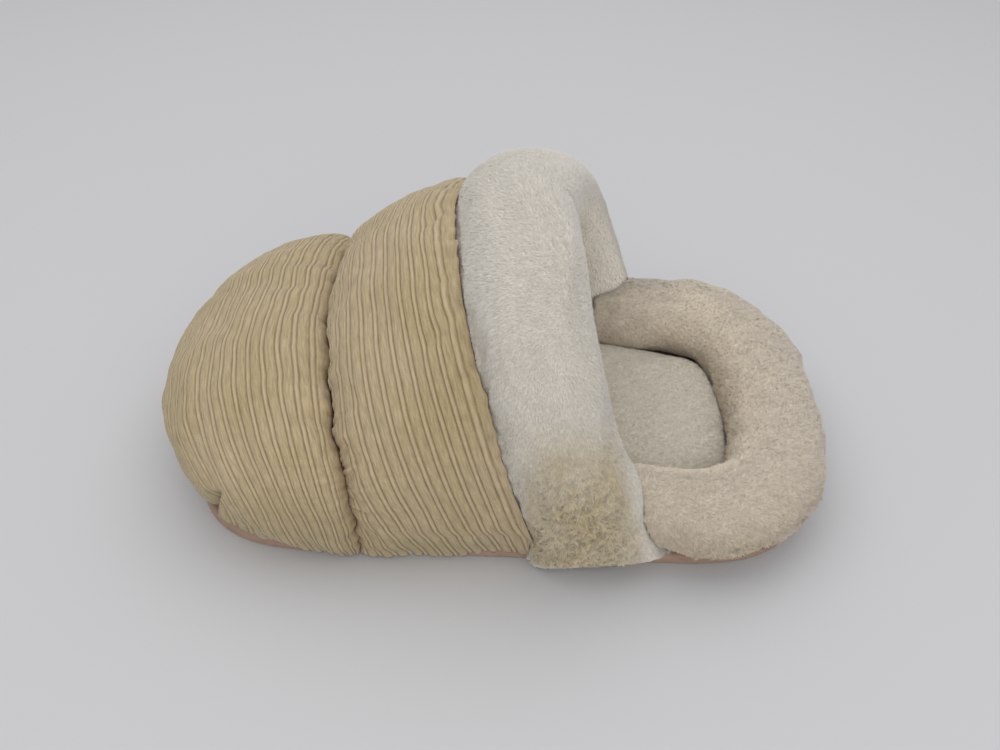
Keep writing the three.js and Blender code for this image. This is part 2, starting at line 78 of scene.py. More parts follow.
# %% Shared sizes
MM = 0.001
DEGREE = math.pi / 180
ON_SOLE = 0.5
SOLE = {"thickness": 12.0, "round": 3.0, "half_width": 159.0, "toe_x": -127.0, "toe_length": 139.0,
        "heel_x": 150.0, "heel_length": 137.0, "power": 3.0, "dent": 9, "dent_x": 14, "dent_span": 26}
HOOD = {"centre_x": -127.0, "toe_length": 154.0, "half_width": 175.0, "widest_z": 74.0, "toe_height": 157.0,
        "tuck": 22 * DEGREE, "power": 2.45, "wall": 18.0, "hem_z": 3.0, "inner_hem_z": 13.0}
FAN = {"x": -107.0, "z": -24.0, "lean": 10.3 * DEGREE}
SEAM = {"bow": 3.0, "skew": 18.0, "skew_power": 1.5}
PUFF = {"height": 12.0, "seam_reach": 26.0, "cuff_reach": 13.0, "hem_reach": 62.0, "power": 2.2,
        "toe_span": 275.0}
CUFF = {"half_width": 162.0, "widest_z": 80.0, "top_z": 243.0, "tuck": 22 * DEGREE, "top_x": 22.0,
        "lean": 80.0, "lean_power": 1.38, "skew": 6.0, "radial": 38.0, "axial": 46.0, "top_axial": 52.0,
        "foot_axial": 60.0, "power": 2.15, "foot_power": 7.0, "near_flare": 7.0, "flare_z": 66.0,
        "flare_span": 44.0, "foot_round": 48.0, "foot_start": 50.0, "foot_fade": 1.4, "floor_z": 1.0,
        "band_top": -94 * DEGREE, "band_bottom": -130 * DEGREE, "band_gap": 0.7,
        "edge_top": -69 * DEGREE, "edge_drop": 13 * DEGREE}
INSTEP = {"crown": 15.0, "hem_out": 8.0, "end_arch": 0.965, "wale_turn": 14.0, "turn_start": 0.89}
BOLSTER = {"start_x": 95.0, "bend_x": 150.0, "bend_length": 105.0, "bend_span": 380.0, "half_width": 143.0,
           "power": 2.8, "middle_z": 48.0, "across": 45.0, "up": 38.0, "down": 35.6, "tuck": 1.12,
           "near_pinch": 9.0, "far_pinch": 3.0, "pinch_reach": 110.0,
           "far_full": 6.0, "near_thin": 8.0, "near_low": 4.0, "thin_middle": 90.0, "thin_span": 110.0}
PAD = {"toe_x": -236.0, "heel_x": 226.0, "half_width": 113.0, "power": 3.6, "crown_z": 54.0,
       "widest_z": 30.0, "under_turn": 35 * DEGREE, "fullness": 3.0, "far_width": 108.0, "far_power": 3.1}

# %% [markdown]
# ## Small tools for shapes
#
# Rounded things that aren't quite round are common in sewing. A superellipse squares a circle a little, and
# a smooth step fades one shape into another. Cloth is never quite even, and a sum of sine waves in seeded
# directions gives it soft lumps of a chosen size that come out the same on every run.

# %% Shape helpers
def mix(a, b, share):
    """a where share is 0, b where it is 1, and straight between."""
    return a + (b - a) * share


def smooth(value):
    """0 below 0, 1 above 1, and three t squared less two t cubed between."""
    t = np.clip(value, 0, 1)
    return t * t * (3 - 2 * t)


def squaring(x, y, power):
    """The factor that moves a point of a circle onto the superellipse of that power, in its direction."""
    radius = np.maximum(np.hypot(x, y), 1e-9)
    return (np.abs(x / radius) ** power + np.abs(y / radius) ** power) ** (-1 / power)


def unit(vectors):
    """Vectors of length one along the last axis."""
    return vectors / np.maximum(np.linalg.norm(vectors, axis=-1, keepdims=True), 1e-12)


def lumps(points, size, seed, waves=14):
    """Soft unevenness of about 1: the sum of sine waves in seeded directions, each about one size long."""
    random = np.random.default_rng(seed)
    ways = unit(random.normal(size=(waves, 3))) * (2 * math.pi / size)
    ways = ways * random.uniform(0.7, 1.4, (waves, 1))
    turns = points @ ways.T + random.uniform(0, 2 * math.pi, waves)
    return np.sin(turns).sum(-1) / math.sqrt(waves / 2)


print("squared by a power of 3, a circle's corners lie", squaring(1, 1, 3).round(3), "times as far out")

# %% [markdown]
# ## From grid to mesh
#
# Every skin here is a grid of points, so its faces can be numbered all at once. Two lines of points of
# unlike length are joined by a zipper of triangles, and points that fall together are welded, so that no
# skin has a hole.

# %% Mesh helpers
def grid_faces(rows, columns, closed=False):
    """The four corner numbers of each square of a grid, its last column joined to the first if closed."""
    numbers = np.arange(rows * columns).reshape(rows, columns)
    if closed:
        numbers = np.concatenate([numbers, numbers[:, :1]], axis=1)
    a, b, c, d = numbers[:-1, :-1], numbers[:-1, 1:], numbers[1:, 1:], numbers[1:, :-1]
    return np.stack([a, b, c, d], axis=-1).reshape(-1, 4)


def triangles_of(quads):
    """Two triangles for each square."""
    return np.concatenate([quads[:, [0, 1, 2]], quads[:, [0, 2, 3]]])


def zipper(left, right):
    """Triangles that fill the strip between two lines of corner numbers, stepping along both evenly."""
    a, b = len(left) - 1, len(right) - 1
    i, j = np.arange(a), np.arange(b)
    right_then = np.clip(np.ceil((i + 1) * b / a - 1e-9).astype(int) - 1, 0, b)
    left_then = np.clip(np.floor((j + 1) * a / b + 1e-9).astype(int), 0, a)
    first = np.stack([left[i], right[right_then], left[i + 1]], axis=-1)
    second = np.stack([left[left_then], right[j], right[j + 1]], axis=-1)
    return np.concatenate([first, second])


def welded(points, triangles, values):
    """Points closer than a thousandth of a millimetre become one, and triangles left without area go."""
    keys = np.round(points * 1000).astype(np.int64)
    _, first, place = np.unique(keys, axis=0, return_index=True, return_inverse=True)
    triangles = place.reshape(-1)[triangles]
    a, b, c = triangles.T
    triangles = triangles[(a != b) & (b != c) & (a != c)]
    return points[first], triangles, {name: value[first] for name, value in values.items()}


def outward(points, triangles):
    """The same triangles, turned round if the volume that they close comes out below zero."""
    a, b, c = points[triangles[:, 0]], points[triangles[:, 1]], points[triangles[:, 2]]
    volume = np.einsum("ij,ij->i", a, np.cross(b, c)).sum() / 6
    return (triangles if volume > 0 else triangles[:, ::-1]), abs(volume) / 1e6


def make_piece(name, points, triangles, values, maps):
    """A mesh object in metres, with one attribute for each value and one UV map for each map."""
    mesh = bpy.data.meshes.new(name)
    mesh.vertices.add(len(points))
    mesh.vertices.foreach_set("co", (points * MM).astype(np.float32).ravel())
    mesh.loops.add(triangles.size)
    mesh.loops.foreach_set("vertex_index", triangles.astype(np.int32).ravel())
    mesh.polygons.add(len(triangles))
    mesh.polygons.foreach_set("loop_start", np.arange(0, triangles.size, 3, dtype=np.int32))
    mesh.update(calc_edges=True)
    mesh.polygons.foreach_set("use_smooth", np.ones(len(triangles), bool))
    for key, value in values.items():
        layer = mesh.attributes.new(key, "FLOAT", "POINT")
        layer.data.foreach_set("value", np.asarray(value, np.float32).ravel())
    for key, value in maps.items():
        layer = mesh.uv_layers.new(name=key)
        layer.uv.foreach_set("vector", np.asarray(value, np.float32)[triangles.ravel()].ravel())
    piece = bpy.data.objects.new(name, mesh)
    bpy.context.scene.collection.objects.link(piece)
    return piece


# %% [markdown]
# ## Colours and material nodes
#
# Colours are read as sRGB hex, which is how cloth charts give them, and turned to linear light once. One
# small function adds any node, sets it and links it. Five shorter ones use it for what comes again and
# again: a number that the piece carries, a step of arithmetic, a blend of two colours, noise of a size in
# metres, and a value stretched from one range onto another.

# %% Material helpers
def linear(code):
    """A hex sRGB colour as linear red, green, blue and 1: divided when low, else to the power of 2.4."""
    parts = np.array([int(code[k:k + 2], 16) / 255 for k in (0, 2, 4)])
    light = np.where(parts <= 0.04045, parts / 12.92, ((parts + 0.055) / 1.055) ** 2.4)
    return (*map(float, light), 1.0)


def add(tree, kind, settings, inputs):
    """Adds a node: settings are its own properties, and an input is a value or the output that feeds it."""
    node = tree.nodes.new(kind)
    for key, value in settings.items():
        setattr(node, key, value)
    for key, value in inputs.items():
        if isinstance(value, bpy.types.NodeSocket):
            tree.links.new(value, node.inputs[key])
        else:
            node.inputs[key].default_value = value
    return node


def new_material(name):
    """An empty material with only its Principled shader and output left to fill."""
    material = bpy.data.materials.new(name)
    material.use_nodes = True
    tree = material.node_tree
    tree.nodes.clear()
    shader = tree.nodes.new("ShaderNodeBsdfPrincipled")
    output = tree.nodes.new("ShaderNodeOutputMaterial")
    tree.links.new(shader.outputs[0], output.inputs[0])
    return material, tree, shader


def attribute(tree, name):
    """The output of a number that the piece carries."""
    return add(tree, "ShaderNodeAttribute", {"attribute_name": name}, {}).outputs["Fac"]


def worked(tree, operation, *values):
    """The output of one step of arithmetic."""
    return add(tree, "ShaderNodeMath", {"operation": operation}, dict(enumerate(values))).outputs[0]


def blended(tree, share, first, second, kind="MIX"):
    """The first colour turned into the second by a share, or into their product if the kind says so."""
    return add(tree, "ShaderNodeMix", {"data_type": "RGBA", "blend_type": kind},
               {0: share, 6: first, 7: second}).outputs[2]


def noise(tree, place, size, detail):
    """Soft noise between 0 and 1, its lumps about one size wide."""
    return add(tree, "ShaderNodeTexNoise", {},
               {"Vector": place, "Scale": 1 / size, "Detail": detail}).outputs["Fac"]


def ranged(tree, value, low, high, to_low=0.0, to_high=1.0, kind="LINEAR"):
    """A value stretched from low and high onto two others, and held there beyond them."""
    return add(tree, "ShaderNodeMapRange", {"interpolation_type": kind},
               {"Value": value, "From Min": low, "From Max": high,
                "To Min": to_low, "To Max": to_high}).outputs[0]


print("the grey 808080 is", round(linear("808080")[0], 3), "in linear light")

# %% [markdown]
# ## The sole
#
# The real base is a thin padded board in brown suede cloth. Only its edge shows, so it is a superellipse
# outline with a rolled edge, swept through a small profile. Beside the roll's near foot the stitching draws
# the edge in, as a shallow dent.

# %% Sole outline and body
def sole_outline(angle, grow):
    """Half a superellipse about the toe's middle and half about the heel's, both grown by a margin."""
    c, s = np.cos(angle), np.sin(angle)
    k = squaring(c, s, SOLE["power"])
    x = np.where(c < 0, SOLE["toe_x"] + (SOLE["toe_length"] + grow) * c * k,
                 SOLE["heel_x"] + (SOLE["heel_length"] + grow) * c * k)
    return x, (SOLE["half_width"] + grow) * s * k


def inside_sole(points, margin):
    """How far a point is inside the sole's outline grown by a margin: below 1 is inside."""
    x, y = points[..., 0], points[..., 1]
    length = np.where(x < SOLE["toe_x"], SOLE["toe_length"], SOLE["heel_length"]) + margin
    along = np.where(x < SOLE["toe_x"], SOLE["toe_x"] - x, np.maximum(x - SOLE["heel_x"], 0)) / length
    return (np.abs(along) ** SOLE["power"] + np.abs(y / (SOLE["half_width"] + margin)) ** SOLE["power"])


def make_sole():
    """Rings of the outline, drawn in and lifted round the rolled edge, closed by a fan at both faces."""
    turns = np.linspace(0, 2 * math.pi, 360, endpoint=False)
    roll = np.linspace(-90, 90, 15) * DEGREE
    radius = SOLE["round"]
    side = SOLE["thickness"] - 2 * radius
    inset = np.concatenate([[40, 12], radius * (1 - np.cos(roll)), [12, 40]])
    rolled = radius * (1 + np.sin(roll)) + side * (roll > 0)
    height = np.concatenate([[0, 0], rolled, [SOLE["thickness"], SOLE["thickness"]]])
    x, y = sole_outline(turns[None], -inset[:, None])
    rings = np.stack([x, y, np.broadcast_to(height[:, None], x.shape)], axis=-1)
    rolled_part = rings[3:-3]
    rolled_part[..., 2] += 0.5 * lumps(rolled_part, 35, 5) * np.sin(math.pi * rolled_part[..., 2] / 12)
    dent = SOLE["dent"] * np.exp(-((rings[..., 0] - SOLE["dent_x"]) / SOLE["dent_span"]) ** 2)
    rings[..., 1] += smooth(-rings[..., 1] / 100) * dent
    points = rings.reshape(-1, 3)
    middle = np.array([[0.0, 0, 0], [0.0, 0, SOLE["thickness"]]])
    count, wide = len(rings), len(turns)
    around = np.arange(wide)
    low = np.stack([np.full(wide, count * wide), np.roll(around, -1), around], axis=-1)
    last = (count - 1) * wide
    high = np.stack([np.full(wide, count * wide + 1), last + around, last + np.roll(around, -1)], axis=-1)
    triangles = np.concatenate([triangles_of(grid_faces(count, wide, True)), low, high])
    points = np.concatenate([points, middle])
    triangles, litres = outward(points, triangles)
    print("sole triangles", len(triangles), "litres", round(litres, 2))
    return make_piece("sole_suede", points, triangles, {}, {})


sole = make_sole()

# %% [markdown]
# ## Corduroy
#
# Corduroy is a weave whose extra threads are cut into rows of pile, called wales. This one has a wide wale
# and a thin one by turns, so its grooves come in pairs. One repeat is 12.7 mm, and the thin wale starts 8.6
# mm into it. The relief is drawn with fourteen columns to a repeat, close together at the grooves, because
# a bump alone would look flat at the outline.

# %% Wale relief
REPEAT = 12.7
THIN_START = 8.6
WIDE_HEIGHT = 1.6
THIN_HEIGHT = 1.35
WALE_COLUMNS = np.array([0, 0.45, 1.0, 2.2, 4.3, 6.4, 7.6, 8.15, 8.6, 9.05, 9.6, 10.65, 11.7, 12.25])


def wale_relief(distance):
    """Height of the pile: each wale is one less a power of the distance from its middle."""
    at = np.mod(distance, REPEAT)
    wide = WIDE_HEIGHT * (1 - np.abs(2 * at / THIN_START - 1) ** 6)
    thin = THIN_HEIGHT * (1 - np.abs(2 * (at - THIN_START) / (REPEAT - THIN_START) - 1) ** 4)
    return np.where(at < THIN_START, wide, thin)


def groove_at(distance):
    """1 in a groove and 0 on a wale, as a bell a little over one millimetre wide."""
    at = np.mod(distance, REPEAT)
    near = np.minimum(np.minimum(at, np.abs(at - THIN_START)), REPEAT - at)
    return np.exp(-(near / 0.62) ** 2)


def thin_at(distance):
    """1 on the thin wale's crown and 0 elsewhere."""
    at = np.mod(distance, REPEAT)
    return np.exp(-((at - (THIN_START + REPEAT) / 2) / 1.1) ** 2)


print("wales repeat every", REPEAT, "mm and stand", wale_relief(WALE_COLUMNS).max().round(2), "mm high")

# %% [markdown]
# ## The hood's shape
#
# The toe is a dome that planes cut along its wales, as the segments of an orange. The instep is spanned
# from the dome's edge to the cuff and crowned. Both are filled, so they swell between their seams and draw
# in at them.

# %% Dome and arch
def arch_z(unit_z, widest, up, down, tuck):
    """Height: even above the widest level, and stretched by a square term below it down to the hem."""
    floor = math.sin(tuck)
    bend = (down - up * floor) / floor ** 2
    return widest + up * unit_z - np.where(unit_z < 0, bend * unit_z ** 2, 0)


def dome_point(share, arch, inset, hem_z):
    """A point of the toe dome: share 0 is the first seam and 1 the tip, arch runs from hem over to hem."""
    up = HOOD["toe_height"] - HOOD["widest_z"]
    unit_hem = -math.sin(HOOD["tuck"])
    fan_x = (FAN["x"] - HOOD["centre_x"]) / HOOD["toe_length"]
    fan_z = (FAN["z"] - HOOD["widest_z"]) / up
    start = math.atan(math.tan(FAN["lean"]) * up / HOOD["toe_length"])
    tip = math.atan2(math.cos(HOOD["tuck"]) + fan_x, unit_hem - fan_z)
    lean = mix(start, tip, share)
    reach = np.cos(lean) * fan_x + np.sin(lean) * fan_z
    radius = np.sqrt(np.maximum(0, 1 - reach ** 2))
    hem_turn = np.arccos(np.clip((unit_hem - reach * np.sin(lean)) / (radius * np.cos(lean)), -1, 1))
    turn = arch * hem_turn
    x = reach * np.cos(lean) - radius * np.sin(lean) * np.cos(turn)
    y = radius * np.sin(turn)
    z = reach * np.sin(lean) + radius * np.cos(lean) * np.cos(turn)
    square = np.where(x < 0, squaring(x, y, HOOD["power"]), 1)
    height = np.clip((z - unit_hem) / (1 - unit_hem), 0, 1)
    skew = SEAM["skew"] * np.sign(y) * np.abs(y) ** SEAM["skew_power"]
    shift = (SEAM["bow"] * np.sin(math.pi * height) - skew) * (1 - share) ** 2
    return np.stack([
        HOOD["centre_x"] + (HOOD["toe_length"] - inset) * x * square + shift,
        (HOOD["half_width"] - inset) * y * square,
        arch_z(z, HOOD["widest_z"], up - inset, HOOD["widest_z"] - hem_z, HOOD["tuck"]),
    ], axis=-1)


def dome_normal(points):
    """Outward: each coordinate from the dome's middle, over the square of its half size."""
    over = points[..., 2] > HOOD["widest_z"]
    high = np.where(over, HOOD["toe_height"] - HOOD["widest_z"], HOOD["half_width"])
    return unit(np.stack([
        np.minimum(0, points[..., 0] - HOOD["centre_x"]) / HOOD["toe_length"] ** 2,
        points[..., 1] / HOOD["half_width"] ** 2,
        (points[..., 2] - HOOD["widest_z"]) / high ** 2,
    ], axis=-1))


print("dome's tip lies at", dome_point(np.ones(1), np.zeros(1), 0, HOOD["hem_z"])[0].round(), "mm")

# %% [markdown]
# ## The roll's arch and the span to it
#
# The roll round the mouth is an oval section carried over an arch. Its feet are squarer and wider than its
# top, because they are pressed flat on the floor. The instep panel is the straight span from the dome to
# that roll.

# %% Roll's arch and instep span
def cuff_middle(arch):
    """The arch of the roll's middle line: round in height and width, with feet that lean to the heel."""
    turn = arch * (math.pi / 2 + CUFF["tuck"])
    up = CUFF["top_z"] - CUFF["widest_z"]
    z = arch_z(np.cos(turn), CUFF["widest_z"], up, CUFF["widest_z"], CUFF["tuck"])
    x = CUFF["top_x"] + CUFF["lean"] * np.abs(arch) ** CUFF["lean_power"] + CUFF["skew"] * np.sin(turn)
    return np.stack([x, CUFF["half_width"] * np.sin(turn), z], axis=-1)


def cuff_point(arch, around, grow):
    """A point of the roll: its oval section stands square to the arch, and around 0 is the outer side."""
    middle = cuff_middle(arch)
    tangent = unit(cuff_middle(arch + 0.01) - cuff_middle(arch - 0.01))
    turn = arch * (math.pi / 2 + CUFF["tuck"])
    out = np.stack([0 * turn, np.sin(turn) * (CUFF["top_z"] - CUFF["widest_z"]),
                    np.cos(turn) * CUFF["half_width"]], axis=-1)
    axial = unit(np.cross(tangent, out))
    radial = unit(np.cross(axial, tangent))
    low = np.clip((CUFF["foot_start"] - middle[..., 2]) / CUFF["foot_round"], 0, 1)
    radial_size = CUFF["radial"] * np.sqrt(1 - low ** CUFF["foot_fade"]) + grow
    high = np.maximum(0, np.cos(turn)) ** 2
    axial_size = mix(mix(CUFF["axial"], CUFF["top_axial"], high), CUFF["foot_axial"], low) + grow
    flare = CUFF["near_flare"] * np.exp(-((middle[..., 2] - CUFF["flare_z"]) / CUFF["flare_span"]) ** 2)
    axial_size = axial_size + flare * (turn < 0) * np.maximum(np.sin(around), 0)
    square = squaring(np.cos(around), np.sin(around), mix(CUFF["power"], CUFF["foot_power"], low))
    point = middle + radial * (radial_size * np.cos(around) * square)[..., None]
    point = point + axial * (axial_size * np.sin(around) * square)[..., None]
    point[..., 2] = np.maximum(point[..., 2], CUFF["floor_z"])
    return point


def edge_angle(arch):
    """Where the corduroy's edge lies in the roll's section: a little further back over the arch's top."""
    return CUFF["edge_top"] - CUFF["edge_drop"] * smooth((0.62 - np.abs(arch)) / 0.3)


def instep_point(share, arch):
    """Straight from the dome's edge to the cuff, with a crown of four times share by what is left of it."""
    start = dome_point(0 * arch, arch, 0, HOOD["hem_z"])
    end = cuff_point(arch * INSTEP["end_arch"], 0 * arch + CUFF["band_top"], CUFF["band_gap"])
    point = mix(start, end, share[..., None])
    point[..., 2] += 4 * INSTEP["crown"] * share * (1 - share) * np.cos(arch * math.pi / 2)
    low = 1 - np.clip(point[..., 2] / PUFF["hem_reach"], 0, 1)
    point[..., 1] += np.sign(point[..., 1]) * INSTEP["hem_out"] * share * low ** 2
    return point


def instep_normal(share, arch):
    """Square to the panel's run along the bed and to its run over the arch."""
    held = np.clip(arch, -0.99, 0.99)
    along = instep_point(0 * share + 1, held) - instep_point(0 * share, held)
    over = instep_point(share, held + 0.01) - instep_point(share, held - 0.01)
    return unit(np.cross(along, over))


# %% [markdown]
# ## Folds
#
# Stuffed cloth has a few larger folds. They are put in from tables, where the real bed has them:
# share runs from seam to seam, arch from the near hem at -1 to the far hem at 1, and a depth below zero is
# a swelling.

# %% Folds
TOE_FOLDS = [
    {"share": 0.03, "arch": -0.07, "slant": 0.0, "depth": 4.0, "share_span": 0.13, "arch_span": 0.030},
    {"share": 0.05, "arch": -0.31, "slant": 0.1, "depth": 3.6, "share_span": 0.15, "arch_span": 0.035},
    {"share": 0.04, "arch": -0.50, "slant": 0.2, "depth": 2.6, "share_span": 0.10, "arch_span": 0.030},
    {"share": 0.03, "arch": 0.14, "slant": 0.0, "depth": 3.5, "share_span": 0.12, "arch_span": 0.030},
    {"share": 0.74, "arch": -0.62, "slant": 0.0, "depth": 7.0, "share_span": 0.13, "arch_span": 0.20},
    {"share": 0.45, "arch": 0.05, "slant": 0.0, "depth": 4.5, "share_span": 0.35, "arch_span": 0.45},
    {"share": 0.84, "arch": 0.12, "slant": 0.0, "depth": -8.0, "share_span": 0.14, "arch_span": 0.32},
    {"share": 0.91, "arch": -0.85, "slant": 0.0, "depth": 2.5, "share_span": 0.020, "arch_span": 0.20},
]
INSTEP_FOLDS = [
    {"share": 0.86, "arch": -0.35, "slant": 0.25, "depth": 4.0, "share_span": 0.16, "arch_span": 0.022},
    {"share": 0.96, "arch": -0.02, "slant": 0.4, "depth": 5.0, "share_span": 0.14, "arch_span": 0.020},
    {"share": 0.95, "arch": -0.24, "slant": 0.0, "depth": 3.0, "share_span": 0.08, "arch_span": 0.015},
    {"share": 0.95, "arch": -0.47, "slant": 0.0, "depth": 3.2, "share_span": 0.08, "arch_span": 0.014},
    {"share": 0.06, "arch": -0.66, "slant": 0.5, "depth": 4.5, "share_span": 0.06, "arch_span": 0.018},
    {"share": 0.05, "arch": -0.58, "slant": 0.5, "depth": 3.5, "share_span": 0.05, "arch_span": 0.014},
]


def fold_depth(folds, share, arch):
    """The sum of the folds, each a bell along the panel times a bell over the arch."""
    depth = 0 * share
    for fold in folds:
        along = (share - fold["share"]) / fold["share_span"]
        across = (arch - fold["arch"] - fold["slant"] * (share - fold["share"])) / fold["arch_span"]
        depth = depth + fold["depth"] * np.exp(-along ** 2 - across ** 2)
    return depth


print("folds on the toe", len(TOE_FOLDS), "and on the instep", len(INSTEP_FOLDS))

# %% [markdown]
# ## The tuck and the wales' fan
#
# The near hem of the toe has a tuck, where the cloth past a slanted line is set back. A wall of cloth rises
# there within a few millimetres, and behind it the surface comes out again. The wales fan out less towards
# the hem than the dome's own lines would, so a table moves them on, most half way to the tip.

# %% Tuck and fan
NOTCH = {"share": 0.511, "arch": 0.767, "slope": 1.16, "start": 0.68, "hollow": 9.0, "left": 5.0,
         "raise": 8.0}
SPREAD_SHARE = [0, 0.08, 0.12, 0.2, 0.3, 0.4, 0.45, 0.5, 0.6, 0.7, 0.8, 0.9, 1]
SPREAD = [0, 0, 0.018, 0.065, 0.125, 0.21, 0.245, 0.26, 0.245, 0.2, 0.14, 0.075, 0]


def notch(share, arch):
    """A tuck in the near hem: how far back the cloth is set past a slanted line, and a fade from it."""
    past = share - NOTCH["share"] - NOTCH["slope"] * (-arch - NOTCH["arch"])
    wall = smooth(past / 0.014) * smooth((-arch - NOTCH["start"]) / 0.12)
    far = np.maximum(past, 0)
    depth = NOTCH["hollow"] * np.exp(-(far / 0.06) ** 2) + NOTCH["left"] * np.exp(-far / 0.2)
    return wall * depth, wall * np.exp(-far / 0.12)


def spread_wales(share, arch):
    """The share that a wale has at this place of the arch: near the hem it is moved on towards the tip."""
    near_hem = np.clip((np.abs(arch) - 0.6) / 0.4, 0, 1) ** 2.5
    return share + near_hem * np.interp(share, SPREAD_SHARE, SPREAD)


print("at the hem, wales are moved on by up to", max(SPREAD), "of the toe's run")

# %% [markdown]
# ## Swelling and seams
#
# The filling pushes the cloth out and the thread pulls it back, so a seam lies in a valley. Cloth that is
# longer than its seam gathers there in small ridges that die out within two centimetres. At a few spots the
# stitching has pulled the seam open. The seam itself wanders a little, and both of its panels follow it,
# each a third of a millimetre short of the middle, so they never touch.

# %% Swelling and seams
SEAM_PULL = {"depth": 2.6, "reach": 2.6, "open_depth": 3.5, "low": 0.8}
SEAM_GAPS = [-0.883, -0.712, -0.625, -0.549, -0.43, -0.28, -0.11, 0.06]
SEAM_ROOM = 0.35


def puff(distance, z):
    """How far the filling swells the cloth: less near the seam and near the hem."""
    swell = PUFF["height"] * (1 - (1 - np.clip(distance / PUFF["seam_reach"], 0, 1)) ** PUFF["power"])
    return swell * (1 - (1 - np.clip(z / PUFF["hem_reach"], 0, 1)) ** 2)


def gathers(run, distance, seed, reach=13.0, lengths=(9.0, 13.0, 17.0, 24.0)):
    """Ridges square to a seam: sine waves of some lengths along it, dying out away from it."""
    random = np.random.default_rng(seed)
    ridge = 0
    for length in lengths:
        phase = random.uniform(0, 2 * math.pi)
        ridge = ridge + np.sin(2 * math.pi * run / length + phase + 0.9 * np.sin(run / 41 + phase))
    return 0.5 * ridge * np.exp(-distance / reach)


def crinkle(across, run, seed):
    """Faint ridges square to the wales, 6 to 10 mm long, in drifting patches, as handled corduroy has."""
    random = np.random.default_rng(seed)
    ridge = 0
    for length in (6.1, 7.7, 9.9):
        phase = random.uniform(0, 2 * math.pi)
        drift = 1.7 * np.sin(across / 33 + phase) + 1.1 * np.sin(across / 13 + run / 50 + 2 * phase)
        ridge = ridge + np.sin(2 * math.pi * run / length + drift + phase)
    patch = 0.55 + 0.45 * np.sin(across / 29 + 1.3 * np.sin(run / 37)) * np.sin(run / 31 + 0.6)
    return 0.5 * ridge * patch


def seam_gap(arch, distance):
    """1 at the few spots where the stitching has pulled the seam open, and 0 elsewhere."""
    spots = 0 * arch
    for place in SEAM_GAPS:
        spots = spots + np.exp(-((arch - place) / 0.009) ** 2)
    return spots * np.exp(-distance / 3.0)


def pulled_in(arch, distance):
    """The valley that the thread draws at a seam, deeper where the stitching has opened."""
    valley = SEAM_PULL["depth"] * np.exp(-distance / SEAM_PULL["reach"])
    return valley + SEAM_PULL["open_depth"] * seam_gap(arch, distance)


def wander(points, distance):
    """Sideways drift of a seam, of about a millimetre and the same for both of its panels."""
    return lumps(points * np.array([0.0, 1.0, 1.0]), 17, 77) * np.exp(-distance / 7)


print("a seam's valley is", pulled_in(np.zeros(1), np.zeros(1))[0].round(1), "mm deep where it is closed")

# %% [markdown]
# ## The hem
#
# The hem isn't level, so its height is a table along the bed, one for each side. The wales end in small
# scallops there, because each one is a stuffed ridge that the hem's thread can't flatten, and the scallops
# are painted paler, as a painted highlight. Grid rows lie a little closer together near the hems, to have
# enough points for this.

# %% Hem
HEM_X = [-290, -235, -165, -120, -20, 4, 20, 38]
HEM_NEAR = [15.0, 15.0, 12.5, 5.0, 3.5, 8.0, 6.0, 2.5]
HEM_FAR = [15.0, 15.0, 12.5, 8.5, 8.5, 8.5, 8.5, 8.5]
SCALLOP = {"depth": 4.0, "reach": 9, "plumper": 0.3}
# The painted highlight along the hem's scallops: its strength, and how far from the hem it fades in mm.
HEM_HIGHLIGHT = {"strength": 1.3, "reach": 3.5}


def scallop_height(near_hem, across):
    """The hem's scallops: each wide wale hangs lower than the groove beside it, fading from the hem."""
    return SCALLOP["depth"] * near_hem * (wale_relief(across) / WIDE_HEIGHT - 0.5)


def lift_hem(points, raised):
    """Lifts the lower edge to the hem's lip, which isn't the same height all round."""
    lip = np.where(points[..., 1] < 0, np.interp(points[..., 0], HEM_X, HEM_NEAR),
                   np.interp(points[..., 0], HEM_X, HEM_FAR))
    fade = (1 - np.clip((points[..., 2] - HOOD["hem_z"]) / PUFF["hem_reach"], 0, 1)) ** 2
    points[..., 2] = np.maximum(points[..., 2] + (lip - HOOD["hem_z"]) * fade + raised * fade ** 3, 1.0)
    return points


def arch_rows(count):
    """Rows over the arch, a little closer together towards both hems, by a sine."""
    return np.sin(np.linspace(-1, 1, count)) / math.sin(1)


print("near hem's lip lies between", min(HEM_NEAR), "and", max(HEM_NEAR), "mm over the floor")

# %% [markdown]
# ## Closing a panel
#
# Each stuffed panel is one closed skin: the corduroy outside, its turned-in edge, and the plain back of the
# cloth inside. Rings of points run round that section, and the two hems are closed by a strip. The skin
# carries a map called cloth, measured along and across the wales, so that threads in the finish follow the
# cloth.

# %% Panel builder
def rest_on_sole(points):
    """What lies over the sole keeps above its upper face."""
    over = inside_sole(points, 1.0) < 1
    points[..., 2] = np.where(over, np.maximum(points[..., 2], SOLE["thickness"] + ON_SOLE), points[..., 2])
    return points


